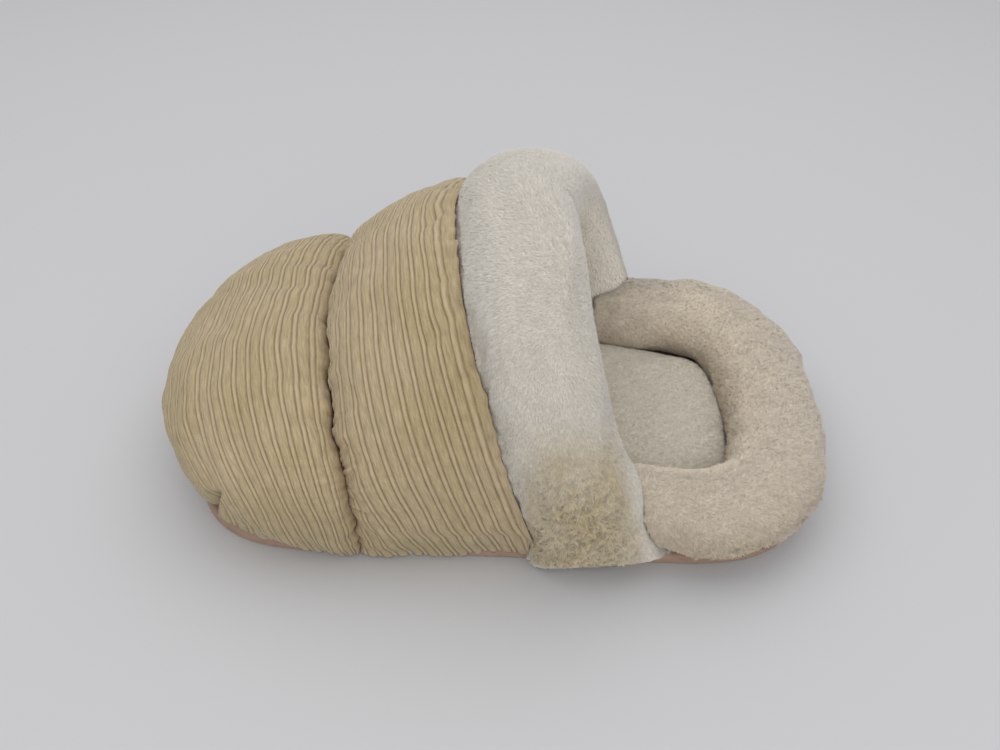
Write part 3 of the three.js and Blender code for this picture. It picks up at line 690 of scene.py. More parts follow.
def make_panel(name, outer, edge, inner, values, cloth):
    """Joins the outer, edge and inner points of every row into one closed skin."""
    rows, wide = outer.shape[:2]
    section = np.concatenate([outer, edge, inner], axis=1)
    count = section.shape[1]
    run = wide + edge.shape[1]
    triangles = [triangles_of(grid_faces(rows, count, True))]
    for row, turned in ((0, False), (rows - 1, True)):
        numbers = row * count + np.arange(count)
        strip = zipper(numbers[:run], numbers[run:][::-1])
        triangles.append(strip[:, ::-1] if turned else strip)
    padded = {}
    for key, value in values.items():
        padded[key] = np.concatenate([value, np.full((rows, count - wide), value.min())], axis=1).ravel()
    inside = np.zeros((rows, count))
    inside[:, wide:] = 1
    padded["inside"] = inside.ravel()
    last = np.repeat(cloth[:, -1:], count - wide, axis=1)
    padded["map_u"] = np.concatenate([cloth, last], axis=1)[..., 0].ravel()
    padded["map_v"] = np.concatenate([cloth, last], axis=1)[..., 1].ravel()
    points, faces, padded = welded(section.reshape(-1, 3), np.concatenate(triangles), padded)
    faces, litres = outward(points, faces)
    chart = np.stack([padded.pop("map_u"), padded.pop("map_v")], axis=-1)
    print(name, "triangles", len(faces), "litres", round(litres, 2))
    return make_piece(name, points, faces, padded, {"cloth": chart})


# %% [markdown]
# ## Blowing the cloth up
#
# Stuffed cloth stands a little proud between its seams, with puckers where slack cloth meets a tight
# thread. No formula gives that, so a coarse copy of each skin runs as real cloth: slightly too big, held at
# its seams and hems, with air behind it and no weight. Only how far it moved is kept, under a cap that
# leaves its neighbours alone, so wales and tufts stay as fine as they are drawn.

# %% Cloth under pressure
CLOTH = {"frames": 20, "pressure": 4.0, "slack": 0.02, "across": 70, "along": 60, "panel_cap": 1.5,
         "roll_cap": 2.0}


def coarse_numbers(count, wanted, closed):
    """Evenly spread whole numbers of a grid line, its last one included unless the line is closed."""
    even = np.linspace(0, count, wanted, endpoint=not closed)
    return np.unique(even.astype(int).clip(0, count - 1))


def cloth_trial(points, held, faces):
    """The places of a coarse skin, in metres, after the frames under pressure, its held points unmoved."""
    data = bpy.data.meshes.new("cloth_trial")
    data.from_pydata(points.tolist(), [], faces.tolist())
    piece = bpy.data.objects.new("cloth_trial", data)
    scene = bpy.context.scene
    scene.collection.objects.link(piece)
    piece.vertex_groups.new(name="held").add(np.nonzero(held)[0].tolist(), 1.0, "REPLACE")
    cloth = piece.modifiers.new("cloth", "CLOTH")
    cloth.settings.quality = 4
    cloth.settings.vertex_group_mass = "held"
    cloth.settings.use_pressure = True
    cloth.settings.uniform_pressure_force = CLOTH["pressure"]
    cloth.settings.shrink_min = -CLOTH["slack"]
    cloth.settings.effector_weights.gravity = 0.0
    cloth.collision_settings.use_collision = False
    cloth.point_cache.frame_end = CLOTH["frames"]
    for frame in range(1, CLOTH["frames"] + 1):
        scene.frame_set(frame)
    result = piece.evaluated_get(bpy.context.evaluated_depsgraph_get()).data
    places = np.empty(3 * len(points))
    result.vertices.foreach_get("co", places)
    bpy.data.objects.remove(piece)
    bpy.data.meshes.remove(data)
    scene.frame_set(1)
    return places.reshape(-1, 3)


def blown_up(name, grid, held, closed, cap):
    """How far, in millimetres, each point of a grid moves when its cloth is blown up, under a cap."""
    rows, wide = grid.shape[:2]
    down = coarse_numbers(rows, CLOTH["along"], False)
    along = coarse_numbers(wide, CLOTH["across"], closed)
    coarse = grid[np.ix_(down, along)] * MM
    faces = np.array(grid_faces(len(down), len(along), closed))
    flat = coarse.reshape(-1, 3)
    corners = flat[faces]
    normals = np.cross(corners[:, 1] - corners[:, 0], corners[:, 3] - corners[:, 0])
    if ((corners.mean(1) - flat.mean(0)) * normals).sum() < 0:
        faces = faces[:, ::-1]
    places = cloth_trial(flat, held[np.ix_(down, along)].ravel(), faces)
    moves = (places - flat).reshape(coarse.shape) / MM
    far = np.linalg.norm(moves, axis=-1, keepdims=True)
    moves *= cap * np.tanh(far / cap) / np.maximum(far, 1e-9)
    if closed:
        moves = np.concatenate([moves, moves[:, :1]], axis=1)
        along = np.append(along, wide)
    print(name, "cloth moved", far.mean().round(1), "mm on average,", far.max().round(1), "at most")
    return refined(refined(moves, down, rows).swapaxes(0, 1), along, wide).swapaxes(0, 1)


def refined(moves, numbers, count):
    """Moves known on some lines of a grid, read off on all of them, straight between the known ones."""
    after = np.searchsorted(numbers, np.arange(count), side="right").clip(1, len(numbers) - 1)
    before = after - 1
    part = (np.arange(count) - numbers[before]) / (numbers[after] - numbers[before])
    return moves[before] + (moves[after] - moves[before]) * part.clip(0, 1)[:, None, None]


# %% [markdown]
# ## The toe panel
#
# Seventeen repeats of a wide and a thin wale fan out from the sole and close over the toe, crowded towards
# its tip. A flat sheet bent over the toe would lose the fan, so the panel is the dome itself, pushed out
# and drawn in point by point.

# %% Toe wales and inside
TOE_RUN = 270
TOE_WALES = {"even": 0.773, "crowd_start": 0.45, "crowd_power": 1.6}


def hem_run(share):
    """About how many millimetres of cloth lie over half the arch, for fading things near the hem."""
    return 20 + 250 * np.sqrt(np.maximum(0, 1 - share ** 2))


def crowded(column):
    """Wales spaced evenly for the first part of the panel, and then closer together by a power."""
    start = TOE_WALES["crowd_start"]
    late = np.maximum((column - start) / (1 - start), 0) ** TOE_WALES["crowd_power"]
    return TOE_WALES["even"] * column + (1 - TOE_WALES["even"]) * late


def toe_inside(rows):
    """The tip's points, and the inner wall, which is the dome once more, one wall's thickness in."""
    tip = lift_hem(dome_point(np.ones(1), np.zeros(1), 0, HOOD["hem_z"]), 0)
    arch, share = np.meshgrid(arch_rows(rows), np.linspace(1, 0, 9), indexing="ij")
    arch = np.where(share == 1, 0, arch)
    inner = dome_point(share, arch, HOOD["wall"], HOOD["inner_hem_z"])
    return np.repeat(tip[None], rows, axis=0), inner


print("half of the toe's wales lie within", round(crowded(0.5), 3), "of its run")

# %% [markdown]
# ## Pushing the toe's points out
#
# Each point of the dome moves along its normal by a sum in millimetres: the filling's swell, the wale,
# gathers and lumps, less the seam's valley, the folds and the tuck. The blown cloth's move is added, and
# the hem is lifted last, so that its scallops keep their height.

# %% Toe panel
def make_toe_band(rows=292, repeats=17):
    """Dome points pushed out by swelling, wales and lumps, and pulled in at the seam and the folds."""
    shares = (np.add.outer(np.arange(repeats), WALE_COLUMNS / REPEAT).ravel()) / repeats
    arch, column = np.meshgrid(arch_rows(rows), shares, indexing="ij")
    across = column * repeats * REPEAT
    share = spread_wales(crowded(column), arch)
    base = dome_point(share, arch, 0, HOOD["hem_z"])
    distance = share * PUFF["toe_span"]
    run = arch * TOE_RUN
    tip_fade = smooth((1 - share) / 0.05)
    near_seam = np.clip(distance / 5, 0, 1)
    from_hem = (1 - np.abs(arch)) * hem_run(share)
    scallop = np.exp(-from_hem / SCALLOP["reach"])
    swell = puff(distance, base[..., 2])
    lift = swell + near_seam * tip_fade * wale_relief(across) * (1 + SCALLOP["plumper"] * scallop)
    lift += 1.2 * gathers(run, distance, 11) * (1 - 0.4 * near_seam)
    lift += 0.9 * gathers(run, distance, 13, 5.0, (5.5, 7.5, 10.0))
    lift += 0.7 * lumps(base, 42, 12) * smooth(distance / 30)
    lift += 0.22 * crinkle(across, run, 14) * (1 + np.exp(-distance / 25)) * tip_fade
    lift -= pulled_in(arch, distance)
    set_back, past = notch(share, arch)
    lift -= fold_depth(TOE_FOLDS, share, arch) + set_back + SEAM_PULL["low"] * near_seam
    out = dome_normal(base)
    tied = (distance < 3) | (np.abs(arch) > 0.97) | (share > 0.97)
    blown = blown_up("toe", base + out * swell[..., None], tied, False, CLOTH["panel_cap"])
    points = base + out * lift[..., None] + blown
    points = lift_hem(points, NOTCH["raise"] * past - scallop_height(scallop, across))
    points = rest_on_sole(points)
    points[..., 0] += wander(base, distance)
    points[:, 0, 0] -= SEAM_ROOM
    tip, inner = toe_inside(rows)
    cloth = np.stack([across, run], axis=-1) * MM
    # painted highlight along the hem's scallops
    hem_highlight = HEM_HIGHLIGHT["strength"] * np.exp(-from_hem / HEM_HIGHLIGHT["reach"])
    # Marks for the finish: grooves darker by their ground weave with painted shade added, a painted
    # highlight on the thin wales' crowns and along the hem, and painted shade in the seam's valley and where
    # it has opened.
    values = {"groove": groove_at(across) * near_seam * tip_fade,
              "painted_light": thin_at(across) * near_seam * tip_fade + hem_highlight,
              "seam": np.clip(0.8 * np.exp(-distance / 2.0) + seam_gap(arch, distance), 0, 1)}
    return make_panel("toe_band_corduroy", points, tip, inner, values, cloth)


toe_band = make_toe_band()

# %% [markdown]
# ## The instep panel
#
# Its wales lie along the cuff and run out, one after the other, where they meet the first seam. So its
# columns are counted from the cuff, and each stops at the seam. Near both hems the wales turn away from the
# cuff by up to 14 mm. The panel's edge isn't tucked under the roll: it rides up on it, a little unevenly,
# and is held there.

# %% Instep columns and inside
INSTEP_RUN = 330
INSTEP_HEM_RUN = 280


def instep_columns(arches):
    """Each row's width, how far its wales are turned away, and its columns' distances from the cuff."""
    span = instep_point(0 * arches, arches) - instep_point(0 * arches + 1, arches)
    width = np.linalg.norm(span, axis=-1)
    turned = INSTEP["wale_turn"] * np.clip((np.abs(arches) - INSTEP["turn_start"]) / 0.11, 0, 1) ** 1.3
    repeats = int(math.ceil((width + turned).max() / REPEAT))
    columns = np.add.outer(np.arange(repeats) * REPEAT, WALE_COLUMNS).ravel()[::-1]
    distance = np.clip(np.append(columns, 0)[None] - turned[:, None], 0, width[:, None])
    distance[:, 0] = width
    print("instep has", repeats, "repeats and is", width.max().round(), "mm wide at most")
    return width, turned, distance


def instep_inside(arches, edge_top):
    """The edge turned in between the cloth's rim and the roll, and the straight inner wall."""
    end_arch = arches * INSTEP["end_arch"]
    edge_turn = mix(edge_top[:, None], CUFF["band_bottom"], np.linspace(0, 1, 8)[None, 1:-1])
    edge = cuff_point(np.repeat(end_arch[:, None], 6, axis=1), edge_turn, CUFF["band_gap"])
    start = dome_point(0 * arches, arches, HOOD["wall"], HOOD["inner_hem_z"])
    end = cuff_point(end_arch, 0 * arches + CUFF["band_bottom"], CUFF["band_gap"])
    inner = mix(end[:, None], start[:, None], np.linspace(0, 1, 7)[None, :, None])
    inner[..., 2] = np.maximum(inner[..., 2], SOLE["thickness"] + 0.6)
    return edge, inner


def instep_blown(arches, width, share):
    """The cloth's moves, found on an even grid and read off at each row's own columns."""
    arch, even = np.meshgrid(arches, np.linspace(0, 1, 60), indexing="ij")
    base = instep_point(even, arch)
    reach = even * width[:, None]
    skin = base + instep_normal(even, arch) * puff(reach, base[..., 2])[..., None]
    tied = (reach < 3) | (width[:, None] - reach < 3) | (np.abs(arch) > 0.97)
    moves = blown_up("instep", skin, tied, False, CLOTH["panel_cap"])
    parts = [[np.interp(share[i], even[i], moves[i, :, k]) for i in range(len(arches))] for k in range(3)]
    return np.stack(parts, axis=-1)


# %% [markdown]
# ## Pushing the instep's points out
#
# The same kind of sum gives the lift of the instep's points, with gathers at both of its seams. Near the
# roll the points are then drawn onto the roll's own surface, where the edge is held, and the edge's line is
# a little uneven.

# %% Instep panel
def make_instep_band(rows=330):
    """Columns at set distances from the cuff, each stopped at the first seam, and shaped as the toe is."""
    arches = arch_rows(rows)
    width, turned, distance = instep_columns(arches)
    across = distance + turned[:, None]
    arch = np.repeat(arches[:, None], distance.shape[1], axis=1)
    share = 1 - distance / width[:, None]
    from_seam = width[:, None] - distance
    base = instep_point(share, arch)
    run = arch * INSTEP_RUN
    fade = np.clip(np.minimum(from_seam, distance) / 5, 0, 1)
    from_hem = (1 - np.abs(arch)) * INSTEP_HEM_RUN
    scallop = np.exp(-from_hem / SCALLOP["reach"])
    lift = puff(from_seam, base[..., 2])
    lift += fade * wale_relief(across) * (1 + SCALLOP["plumper"] * scallop)
    lift += 1.2 * gathers(run, from_seam, 21) + 1.1 * gathers(run, distance, 22, 8.0)
    lift += 0.9 * gathers(run, from_seam, 24, 5.0, (5.5, 7.5, 10.0))
    lift += 0.7 * lumps(base, 45, 23) * smooth(from_seam / 30)
    lift += 0.22 * crinkle(across, run, 25)
    lift -= pulled_in(arch, from_seam)
    lift -= fold_depth(INSTEP_FOLDS, share, arch) + SEAM_PULL["low"] * fade
    points = base + instep_normal(share, arch) * lift[..., None] + instep_blown(arches, width, share)
    beside = np.stack([0 * arches, arches * INSTEP_RUN, 0 * arches], axis=-1)
    edge_top = edge_angle(arches) + 0.06 * lumps(beside, 42, 26) + 0.05 * lumps(beside, 15, 27)
    sewn_on = cuff_point(arches * INSTEP["end_arch"], edge_top, CUFF["band_gap"])
    held = (1 - np.clip(distance / PUFF["cuff_reach"], 0, 1)) ** 1.6 * np.clip(base[..., 2] / 40, 0, 1)
    points = mix(points, sewn_on[:, None], held[..., None])
    points = lift_hem(points, -scallop_height(scallop, across))
    points = rest_on_sole(points)
    points[..., 0] += wander(base, from_seam)
    points[:, 0, 0] += SEAM_ROOM
    edge, inner = instep_inside(arches, edge_top)
    cloth = np.stack([across, run], axis=-1) * MM
    # Painted shade in the seam's valley, where it has opened, and along the edge that rides on the roll;
    # below, the grooves' darker ground weave with painted shade, and a painted highlight on the thin wales
    # and the hem.
    seam_shade = 0.8 * np.exp(-from_seam / 2.0) + 0.5 * np.exp(-distance / 1.0) + seam_gap(arch, from_seam)
    # painted highlight along the hem's scallops
    hem_highlight = HEM_HIGHLIGHT["strength"] * np.exp(-from_hem / HEM_HIGHLIGHT["reach"])
    values = {"groove": groove_at(across) * fade, "painted_light": thin_at(across) * fade + hem_highlight,
              "seam": np.clip(seam_shade, 0, 1)}
    return make_panel("instep_band_corduroy", points, edge, inner, values, cloth)


instep_band = make_instep_band()

# %% [markdown]
# ## The plush rolls and the pad
#
# The rolls are tubes: an oval section carried along a path. Their cloth lies a few millimetres inside the
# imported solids, because the solids reach as far as the pile does, and PILE_ROOM is what the pile needs.

# %% Roll builder
PILE_ROOM = 3.0


def close_tube(name, rings):
    """A tube of rings with both ends closed by a fan from the end ring's middle."""
    rows, wide = rings.shape[:2]
    points = np.concatenate([rings.reshape(-1, 3), rings[0].mean(0)[None], rings[-1].mean(0)[None]])
    around = np.arange(wide)
    first = np.stack([np.full(wide, rows * wide), np.roll(around, -1), around], axis=-1)
    last = (rows - 1) * wide + around
    final = np.stack([np.full(wide, rows * wide + 1), last, np.roll(last, -1)], axis=-1)
    triangles = np.concatenate([triangles_of(grid_faces(rows, wide, True)), first, final])
    triangles, litres = outward(points, triangles)
    chart = np.stack(np.meshgrid(np.linspace(0, 1, rows), np.linspace(0, 1, wide), indexing="ij"), axis=-1)
    chart = np.concatenate([chart.reshape(-1, 2), [[0, 0.5], [1, 0.5]]])
    print(name, "triangles", len(triangles), "litres", round(litres, 2))
    return make_piece(name, points, triangles, {}, {"cloth": chart}), (points, triangles, chart)


def ring_normals(rings):
    """Outward directions of a tube's points: square to the steps along it and round it."""
    along = np.gradient(rings, axis=0)
    round_it = np.roll(rings, -1, axis=1) - np.roll(rings, 1, axis=1)
    normals = unit(np.cross(along, round_it))
    outside = np.einsum("ijk,ijk->ij", normals, rings - rings.mean(1, keepdims=True)).mean() > 0
    return normals if outside else -normals


def curls(points):
    """The tufts of curly pile: small lumps of 4 to 7 mm, the same for the cloth and for the hair on it."""
    return 0.6 * lumps(points, 7.0, 33) + 0.6 * lumps(points, 4.2, 34)


# %% [markdown]
# ## The roll round the mouth
#
# The real roll is a stuffed tube of off-white plush that stands on the floor on both sides of the mouth.
# Its near foot is worn, so the pile there is matted into curls. Where the corduroy's edge lies on the roll,
# the cloth has no room for pile and comes up close behind that edge, or the gap would show as a black line.

# %% Cuff
BEHIND_ROOM = 0.6


def low_near(points):
    """1 on the near leg's lower half, where the pile is worn into curls, and 0 elsewhere."""
    x, y, z = points[..., 0], points[..., 1], points[..., 2]
    wide = smooth((118 - x + 0.25 * (110 - z)) / 26) * smooth((x - 25) / 35)
    return smooth((178 - z) / 100) * smooth((z - 1) / 34) * (y < 0) * wide


def behind_edge(arch, around):
    """1 on the part of the section that the corduroy's edge covers, and 0 elsewhere."""
    turn = np.where(around > math.pi, around - 2 * math.pi, around)
    past_edge = smooth((edge_angle(arch) + 3 * DEGREE - turn) / (7 * DEGREE))
    return past_edge * smooth((turn + 150 * DEGREE) / (12 * DEGREE))


def make_cuff(rows=250, wide=96):
    """The arch's rings, with soft lumps and small curly tufts on the near leg, standing on the floor."""
    turns = np.linspace(0, 2 * math.pi, wide, endpoint=False)
    arch, around = np.meshgrid(np.linspace(-1, 1, rows), turns, indexing="ij")
    rings = cuff_point(arch, around, 0)
    normals = ring_normals(rings)
    free = smooth((rings[..., 2] - 6) / 30)
    quiet = np.where((rings[..., 1] > 0) & (rings[..., 2] > 40), 0.3, 1.0)
    swell = quiet * (0.9 * lumps(rings, 85, 31) + 0.5 * lumps(rings, 34, 32))
    tufts = (0.10 + 0.65 * low_near(rings)) * curls(rings)
    behind = behind_edge(arch, around)
    free_rows = slice(12, -12)
    tied = (rings[..., 2] < 12) | (np.abs(arch) > 0.89) | (behind > 0.3)
    blown = np.zeros_like(rings)
    blown[free_rows] = blown_up("cuff", rings[free_rows], tied[free_rows], True, CLOTH["roll_cap"])
    blown *= 1 - behind[..., None]
    raised = (1 - behind) * (free * swell + tufts - (PILE_ROOM - BEHIND_ROOM)) - BEHIND_ROOM
    rings = rings + blown + normals * raised[..., None]
    rings[..., 2] = np.maximum(rings[..., 2], CUFF["floor_z"])
    return close_tube("cuff_plush", rest_on_sole(rings))


cuff, cuff_cloth_grid = make_cuff()

# %% [markdown]
# ## The heel bolster
#
# The real bolster is one stuffed tube of beige plush, bent in a U and butted against the roll at both ends.
# Bent stuffing bunches on the inner side, so slack wrinkles sit there. The near arm is a little thinner
# than the far one, which is full. Its path is two straight arms and half a superellipse, and the pad later
# uses the same path.

# %% Bolster's path
BOLSTER_ARM = BOLSTER["bend_x"] - BOLSTER["start_x"]
BOLSTER_LENGTH = 2 * BOLSTER_ARM + BOLSTER["bend_span"]
FILLING_OUT = {"at": 0.45, "span": 110}
SLACK = {"at": 0.30, "span": 75, "turn": 6.2, "drift": 17, "height": 0.8}
BUTT = {"rows": 60, "beside": 3.5, "gap": 0.8}


def heel_low(points):
    """1 low at the heel's near corner, where the pile hangs in loose tufts, and 0 elsewhere."""
    x, y, z = points[..., 0], points[..., 1], points[..., 2]
    return smooth((62 - z) / 35) * smooth((x - 140) / 60) * (y < 30)


def bolster_path(travel):
    """Along the near arm, round the bend as half a superellipse, and back along the far arm."""
    bend = BOLSTER["bend_span"]
    turn = np.clip((travel - BOLSTER_ARM) / bend - 0.5, -0.5, 0.5) * math.pi
    c, s = np.cos(turn), np.sin(turn)
    k = squaring(c, s, BOLSTER["power"])
    before = np.minimum(travel - BOLSTER_ARM, 0)
    after = np.maximum(travel - BOLSTER_ARM - bend, 0)
    in_bend = np.abs(turn) < math.pi / 2 - 1e-9
    x = BOLSTER["bend_x"] + BOLSTER["bend_length"] * c * k * in_bend + before - after
    y = BOLSTER["half_width"] * s * k
    power = BOLSTER["power"] - 1
    side = unit(np.stack([(np.maximum(c, 0) * k) ** power / BOLSTER["bend_length"],
                          np.sign(s) * np.abs(s * k) ** power / BOLSTER["half_width"], 0 * c], axis=-1))
    return x, y, side


def slimness(travel):
    """1 in the middle of the near arm, where the bolster is thinner, fading as a bell."""
    return np.exp(-((travel - BOLSTER["thin_middle"]) / BOLSTER["thin_span"]) ** 2)


def inner_fullness(travel):
    """How much further the inner side reaches in than its plain half width: more far, less near."""
    past = travel - BOLSTER_ARM - FILLING_OUT["at"] * BOLSTER["bend_span"]
    return BOLSTER["far_full"] * smooth(past / FILLING_OUT["span"]) - BOLSTER["near_thin"] * slimness(travel)


print("bolster's path is cut into rings over", BOLSTER_LENGTH, "mm")

# %% [markdown]
# ## Wrinkles and butted ends
#
# The rings stand square to that path. How far both arms reach can't be told from the path alone, because
# their ends lie on the roll's cloth. So each point near an end is compared with the roll's points beside
# it, and moved towards the heel until it is clear of them.

# %% Bolster's rings
def make_bolster(rows=240, wide=92):
    """Rings round the heel, pinched at both ends, with slack wrinkles on the bend's inner side."""
    turns = np.linspace(0, 2 * math.pi, wide, endpoint=False)
    travel, around = np.meshgrid(np.linspace(0, 1, rows) * BOLSTER_LENGTH, turns, indexing="ij")
    x, y, side = bolster_path(travel)
    from_end = np.minimum(travel, BOLSTER_LENGTH - travel) / BOLSTER["pinch_reach"]
    pinch = np.where(y < 0, BOLSTER["near_pinch"], BOLSTER["far_pinch"]) * (1 - smooth(from_end))
    y = y - np.sign(y) * pinch
    low = np.sin(around) < 0
    rise = np.where(low, BOLSTER["down"], BOLSTER["up"] - BOLSTER["near_low"] * slimness(travel))
    spread = np.sign(np.cos(around)) * np.abs(np.cos(around)) ** np.where(low, BOLSTER["tuck"], 1)
    rings = np.stack([x, y, BOLSTER["middle_z"] + rise * np.sin(around)], axis=-1)
    half = BOLSTER["across"] - pinch + inner_fullness(travel) * smooth(-1.5 * spread)
    rings = rings + side * (half * spread)[..., None]
    normals = ring_normals(rings)
    free = smooth((rings[..., 2] - 15) / 20)
    inner = smooth(-np.cos(around) * 1.4 + 0.3) * smooth(np.sin(around) + 0.6)
    past = travel - BOLSTER_ARM - SLACK["at"] * BOLSTER["bend_span"]
    slack = SLACK["height"] * np.exp(-(past / SLACK["span"]) ** 2)
    wrinkle = np.sin(travel / SLACK["turn"] + 1.6 * np.sin(around) + 0.8 * np.sin(travel / SLACK["drift"]))
    swell = 0.8 * lumps(rings, 80, 41) + 0.5 * lumps(rings, 30, 42) + wrinkle * inner * slack
    outside = smooth(1.2 * np.cos(around) + 0.6)
    tufts = (0.12 + 0.5 * heel_low(rings)) * curls(rings) * outside
    tied = rings[..., 2] < SOLE["thickness"] + 6
    blown = blown_up("bolster", rings, tied, True, CLOTH["roll_cap"])
    rings = rings + blown + normals * (free * swell + tufts - PILE_ROOM)[..., None]
    rings[..., 2] = np.maximum(rings[..., 2], SOLE["thickness"] + ON_SOLE)
    return close_tube("heel_bolster_plush", butt_on_cuff(rings))


def butt_on_cuff(rings):
    """Pulls both arms' ends out of the cuff: no point lies nearer the toe than the cuff's heel side."""
    cuff_points = cuff_cloth_grid[0]
    for rows in (slice(0, BUTT["rows"]), slice(-BUTT["rows"], None)):
        part = rings[rows]
        flat = part.reshape(-1, 3)
        side = cuff_points[np.sign(cuff_points[:, 1]) == np.sign(flat[:, 1].mean())]
        gap = np.abs(flat[:, None, 1:] - side[None, :, 1:]).max(-1)
        reach = np.where(gap < BUTT["beside"], side[None, :, 0], -1e9).max(1)
        flat[:, 0] = np.maximum(flat[:, 0], reach + BUTT["gap"])
        rings[rows] = flat.reshape(part.shape)
    return rings


bolster, bolster_cloth_grid = make_bolster()

# %% [markdown]
# ## The pad
#
# The real pad is a loose cushion of short plush. It is crowned, its sides pull in below their widest line,
# and it is flat only where it lies on the sole. Rings from that flat underside up to the crown give this,
# each one a superellipse. Where the pad would press into the bolster, it gives way.

# %% Pad
PAD_GAP = 1.0


def make_pad(rings_count=44, wide=220):
    """Rings from the underside out to the widest line and up to the crown, with an uneven top."""
    below = np.linspace(-PAD["under_turn"], 0, 8)
    turn = np.concatenate([below, np.linspace(0, math.pi / 2, rings_count)[1:-1]])
    angle = np.linspace(0, 2 * math.pi, wide, endpoint=False)
    t, a = np.meshgrid(turn, angle, indexing="ij")
    middle = (PAD["toe_x"] + PAD["heel_x"]) / 2
    half = (PAD["heel_x"] - PAD["toe_x"]) / 2
    beyond = np.sin(a) > 0
    square = squaring(np.cos(a), np.sin(a), np.where(beyond, PAD["far_power"], PAD["power"]))
    under = mix(PAD["widest_z"], SOLE["thickness"] + ON_SOLE, np.sin(-t) / math.sin(PAD["under_turn"]))
    full = np.where(t < 0, 1, squaring(np.cos(t), np.sin(t), PAD["fullness"]))
    z = np.where(t < 0, under, mix(PAD["widest_z"], PAD["crown_z"] - 1.2, np.sin(t) * full))
    spread = np.cos(t) * full
    x = middle + half * spread * np.cos(a) * square
    y = np.where(beyond, PAD["far_width"], PAD["half_width"]) * spread * np.sin(a) * square
    rings = np.stack([x, y, z], axis=-1)
    rings[..., 2] += smooth(np.sin(t)) * (0.9 * lumps(rings, 90, 51) + 0.4 * lumps(rings, 35, 52))
    rings = rings + blown_up("pad", rings, t < 0.05, True, CLOTH["roll_cap"])
    return close_tube("pad_plush", keep_off_bolster(rings))


def keep_off_bolster(rings):
    """Where the pad would run into the bolster's inner side, it is pushed back square to its path."""
    travel = np.linspace(0, BOLSTER_LENGTH, 400)
    x, y, side = bolster_path(travel)
    path = np.stack([x, y], axis=-1)
    flat = rings.reshape(-1, 3)
    nearest = ((flat[:, None, :2] - path[None]) ** 2).sum(-1).argmin(1)
    inside = -((flat[:, :2] - path[nearest]) * side[nearest, :2]).sum(-1)
    up = flat[:, 2] - BOLSTER["middle_z"]
    round_in = np.sqrt(np.clip(1 - (up / np.where(up < 0, BOLSTER["down"], BOLSTER["up"])) ** 2, 0, 1))
    reach = BOLSTER["across"] + inner_fullness(travel[nearest]) * smooth(1.5 * round_in)
    need = reach * round_in + PAD_GAP
    push = np.maximum(need - inside, 0) * smooth((flat[:, 0] - 40) / 60)
    flat[:, :2] -= side[nearest, :2] * push[:, None]
    return flat.reshape(rings.shape)


pad, pad_cloth_grid = make_pad()

# %% [markdown]
# ## Pile
#
# Plush is short hair. Each tuft here is one small leaning blade, a single triangle about a millimetre wide,
# because finer hair wouldn't show at this distance. Roots are spread evenly over the cloth by area, with
# few where nothing is seen. A blade leans from the cloth's normal towards the way the plush was stroked,
# scattered a little and gathered into clumps by the same lumps for its neighbours. Blades that would hang
# below a roll are shorter.
#
# Light on single triangles would look like gravel. So each blade takes the cloth's own normal, bent a
# little to its tip, as dense fur does. On undersides, inner sides and the low fringe that normal is turned
# up towards the open side, because real hair lets light through there and doesn't go black. Every blade
# also carries four numbers for its finish: tip, from root to end, its own shade, the tuft that it stands
# in, and how curly that place is. The map called OFBake gives it a tiny triangle of its own, at its root's
# place on the cloth, so that its colour can be baked into a picture.

# %% Roots and their light
BLADE = {"scatter": 0.30, "tilt_scatter": 0.13, "least_tilt": 0.25, "most_tilt": 1.42, "clump": 4.5,
         "clump_way": [1.0, 1.0, 0.35], "clump_length": 0.45, "bake_size": 0.0012}
GLOW = {"to_tip": 0.15, "inner": 0.55, "fringe": 0.6, "fringe_top": 24, "fringe_span": 16,
        "up": [0.0, -0.3, 0.9]}
FLOOR_ROOM = 0.4


def roots(cloth_grid, count, keep, random):
    """Places in even steps of the summed area worth seeing, with their normals and chart places."""
    points, triangles, chart = cloth_grid
    corners = points[triangles]
    cross = np.cross(corners[:, 1] - corners[:, 0], corners[:, 2] - corners[:, 0])
    area = np.linalg.norm(cross, axis=1) / 2
    vertex_normals = np.zeros_like(points)
    for k in range(3):
        np.add.at(vertex_normals, triangles[:, k], cross)
    vertex_normals = unit(vertex_normals)
    total = np.cumsum(area * keep(corners.mean(1), unit(cross)))
    pick = np.searchsorted(total, (np.arange(count) + random.random(count)) / count * total[-1])
    pick = np.minimum(pick, len(triangles) - 1)
    r, s = np.sqrt(random.random(count)), random.random(count)
    parts = np.stack([1 - r, r * (1 - s), r * s], axis=-1)[..., None]
    root = (corners[pick] * parts).sum(1)
    normal = unit((vertex_normals[triangles[pick]] * parts).sum(1))
    print(count, "blades on", round(area.sum() / 100), "square centimetres")
    return root, normal, chart[triangles[pick][:, 0]]


def flattened(way, normal):
    """The part of each direction that lies in the cloth."""
    return way - normal * (way * normal).sum(-1, keepdims=True)


def lit_normals(normal, direction, root, inner, shine, random):
    """The cloth's normal bent to the blade's tip, and turned up where light passes through the hair."""
    down = np.maximum(-normal[:, 2:], 0)
    fringe = smooth((GLOW["fringe_top"] - root[:, 2:]) / GLOW["fringe_span"])
    under = down + GLOW["inner"] * inner[:, None] + GLOW["fringe"] * fringe
    jitter = shine * random.normal(size=normal.shape)
    return unit(normal + GLOW["to_tip"] * direction + under * GLOW["up"] + jitter)


# %% [markdown]
# ## One blade for each root
#
# A blade needs a way along the cloth, a tilt between that way and the normal, a length and a width. Each is
# the kind of plush's own value, scattered a little. The numbers are drawn for all blades at once, because a
# loop over half a million of them would be slow.

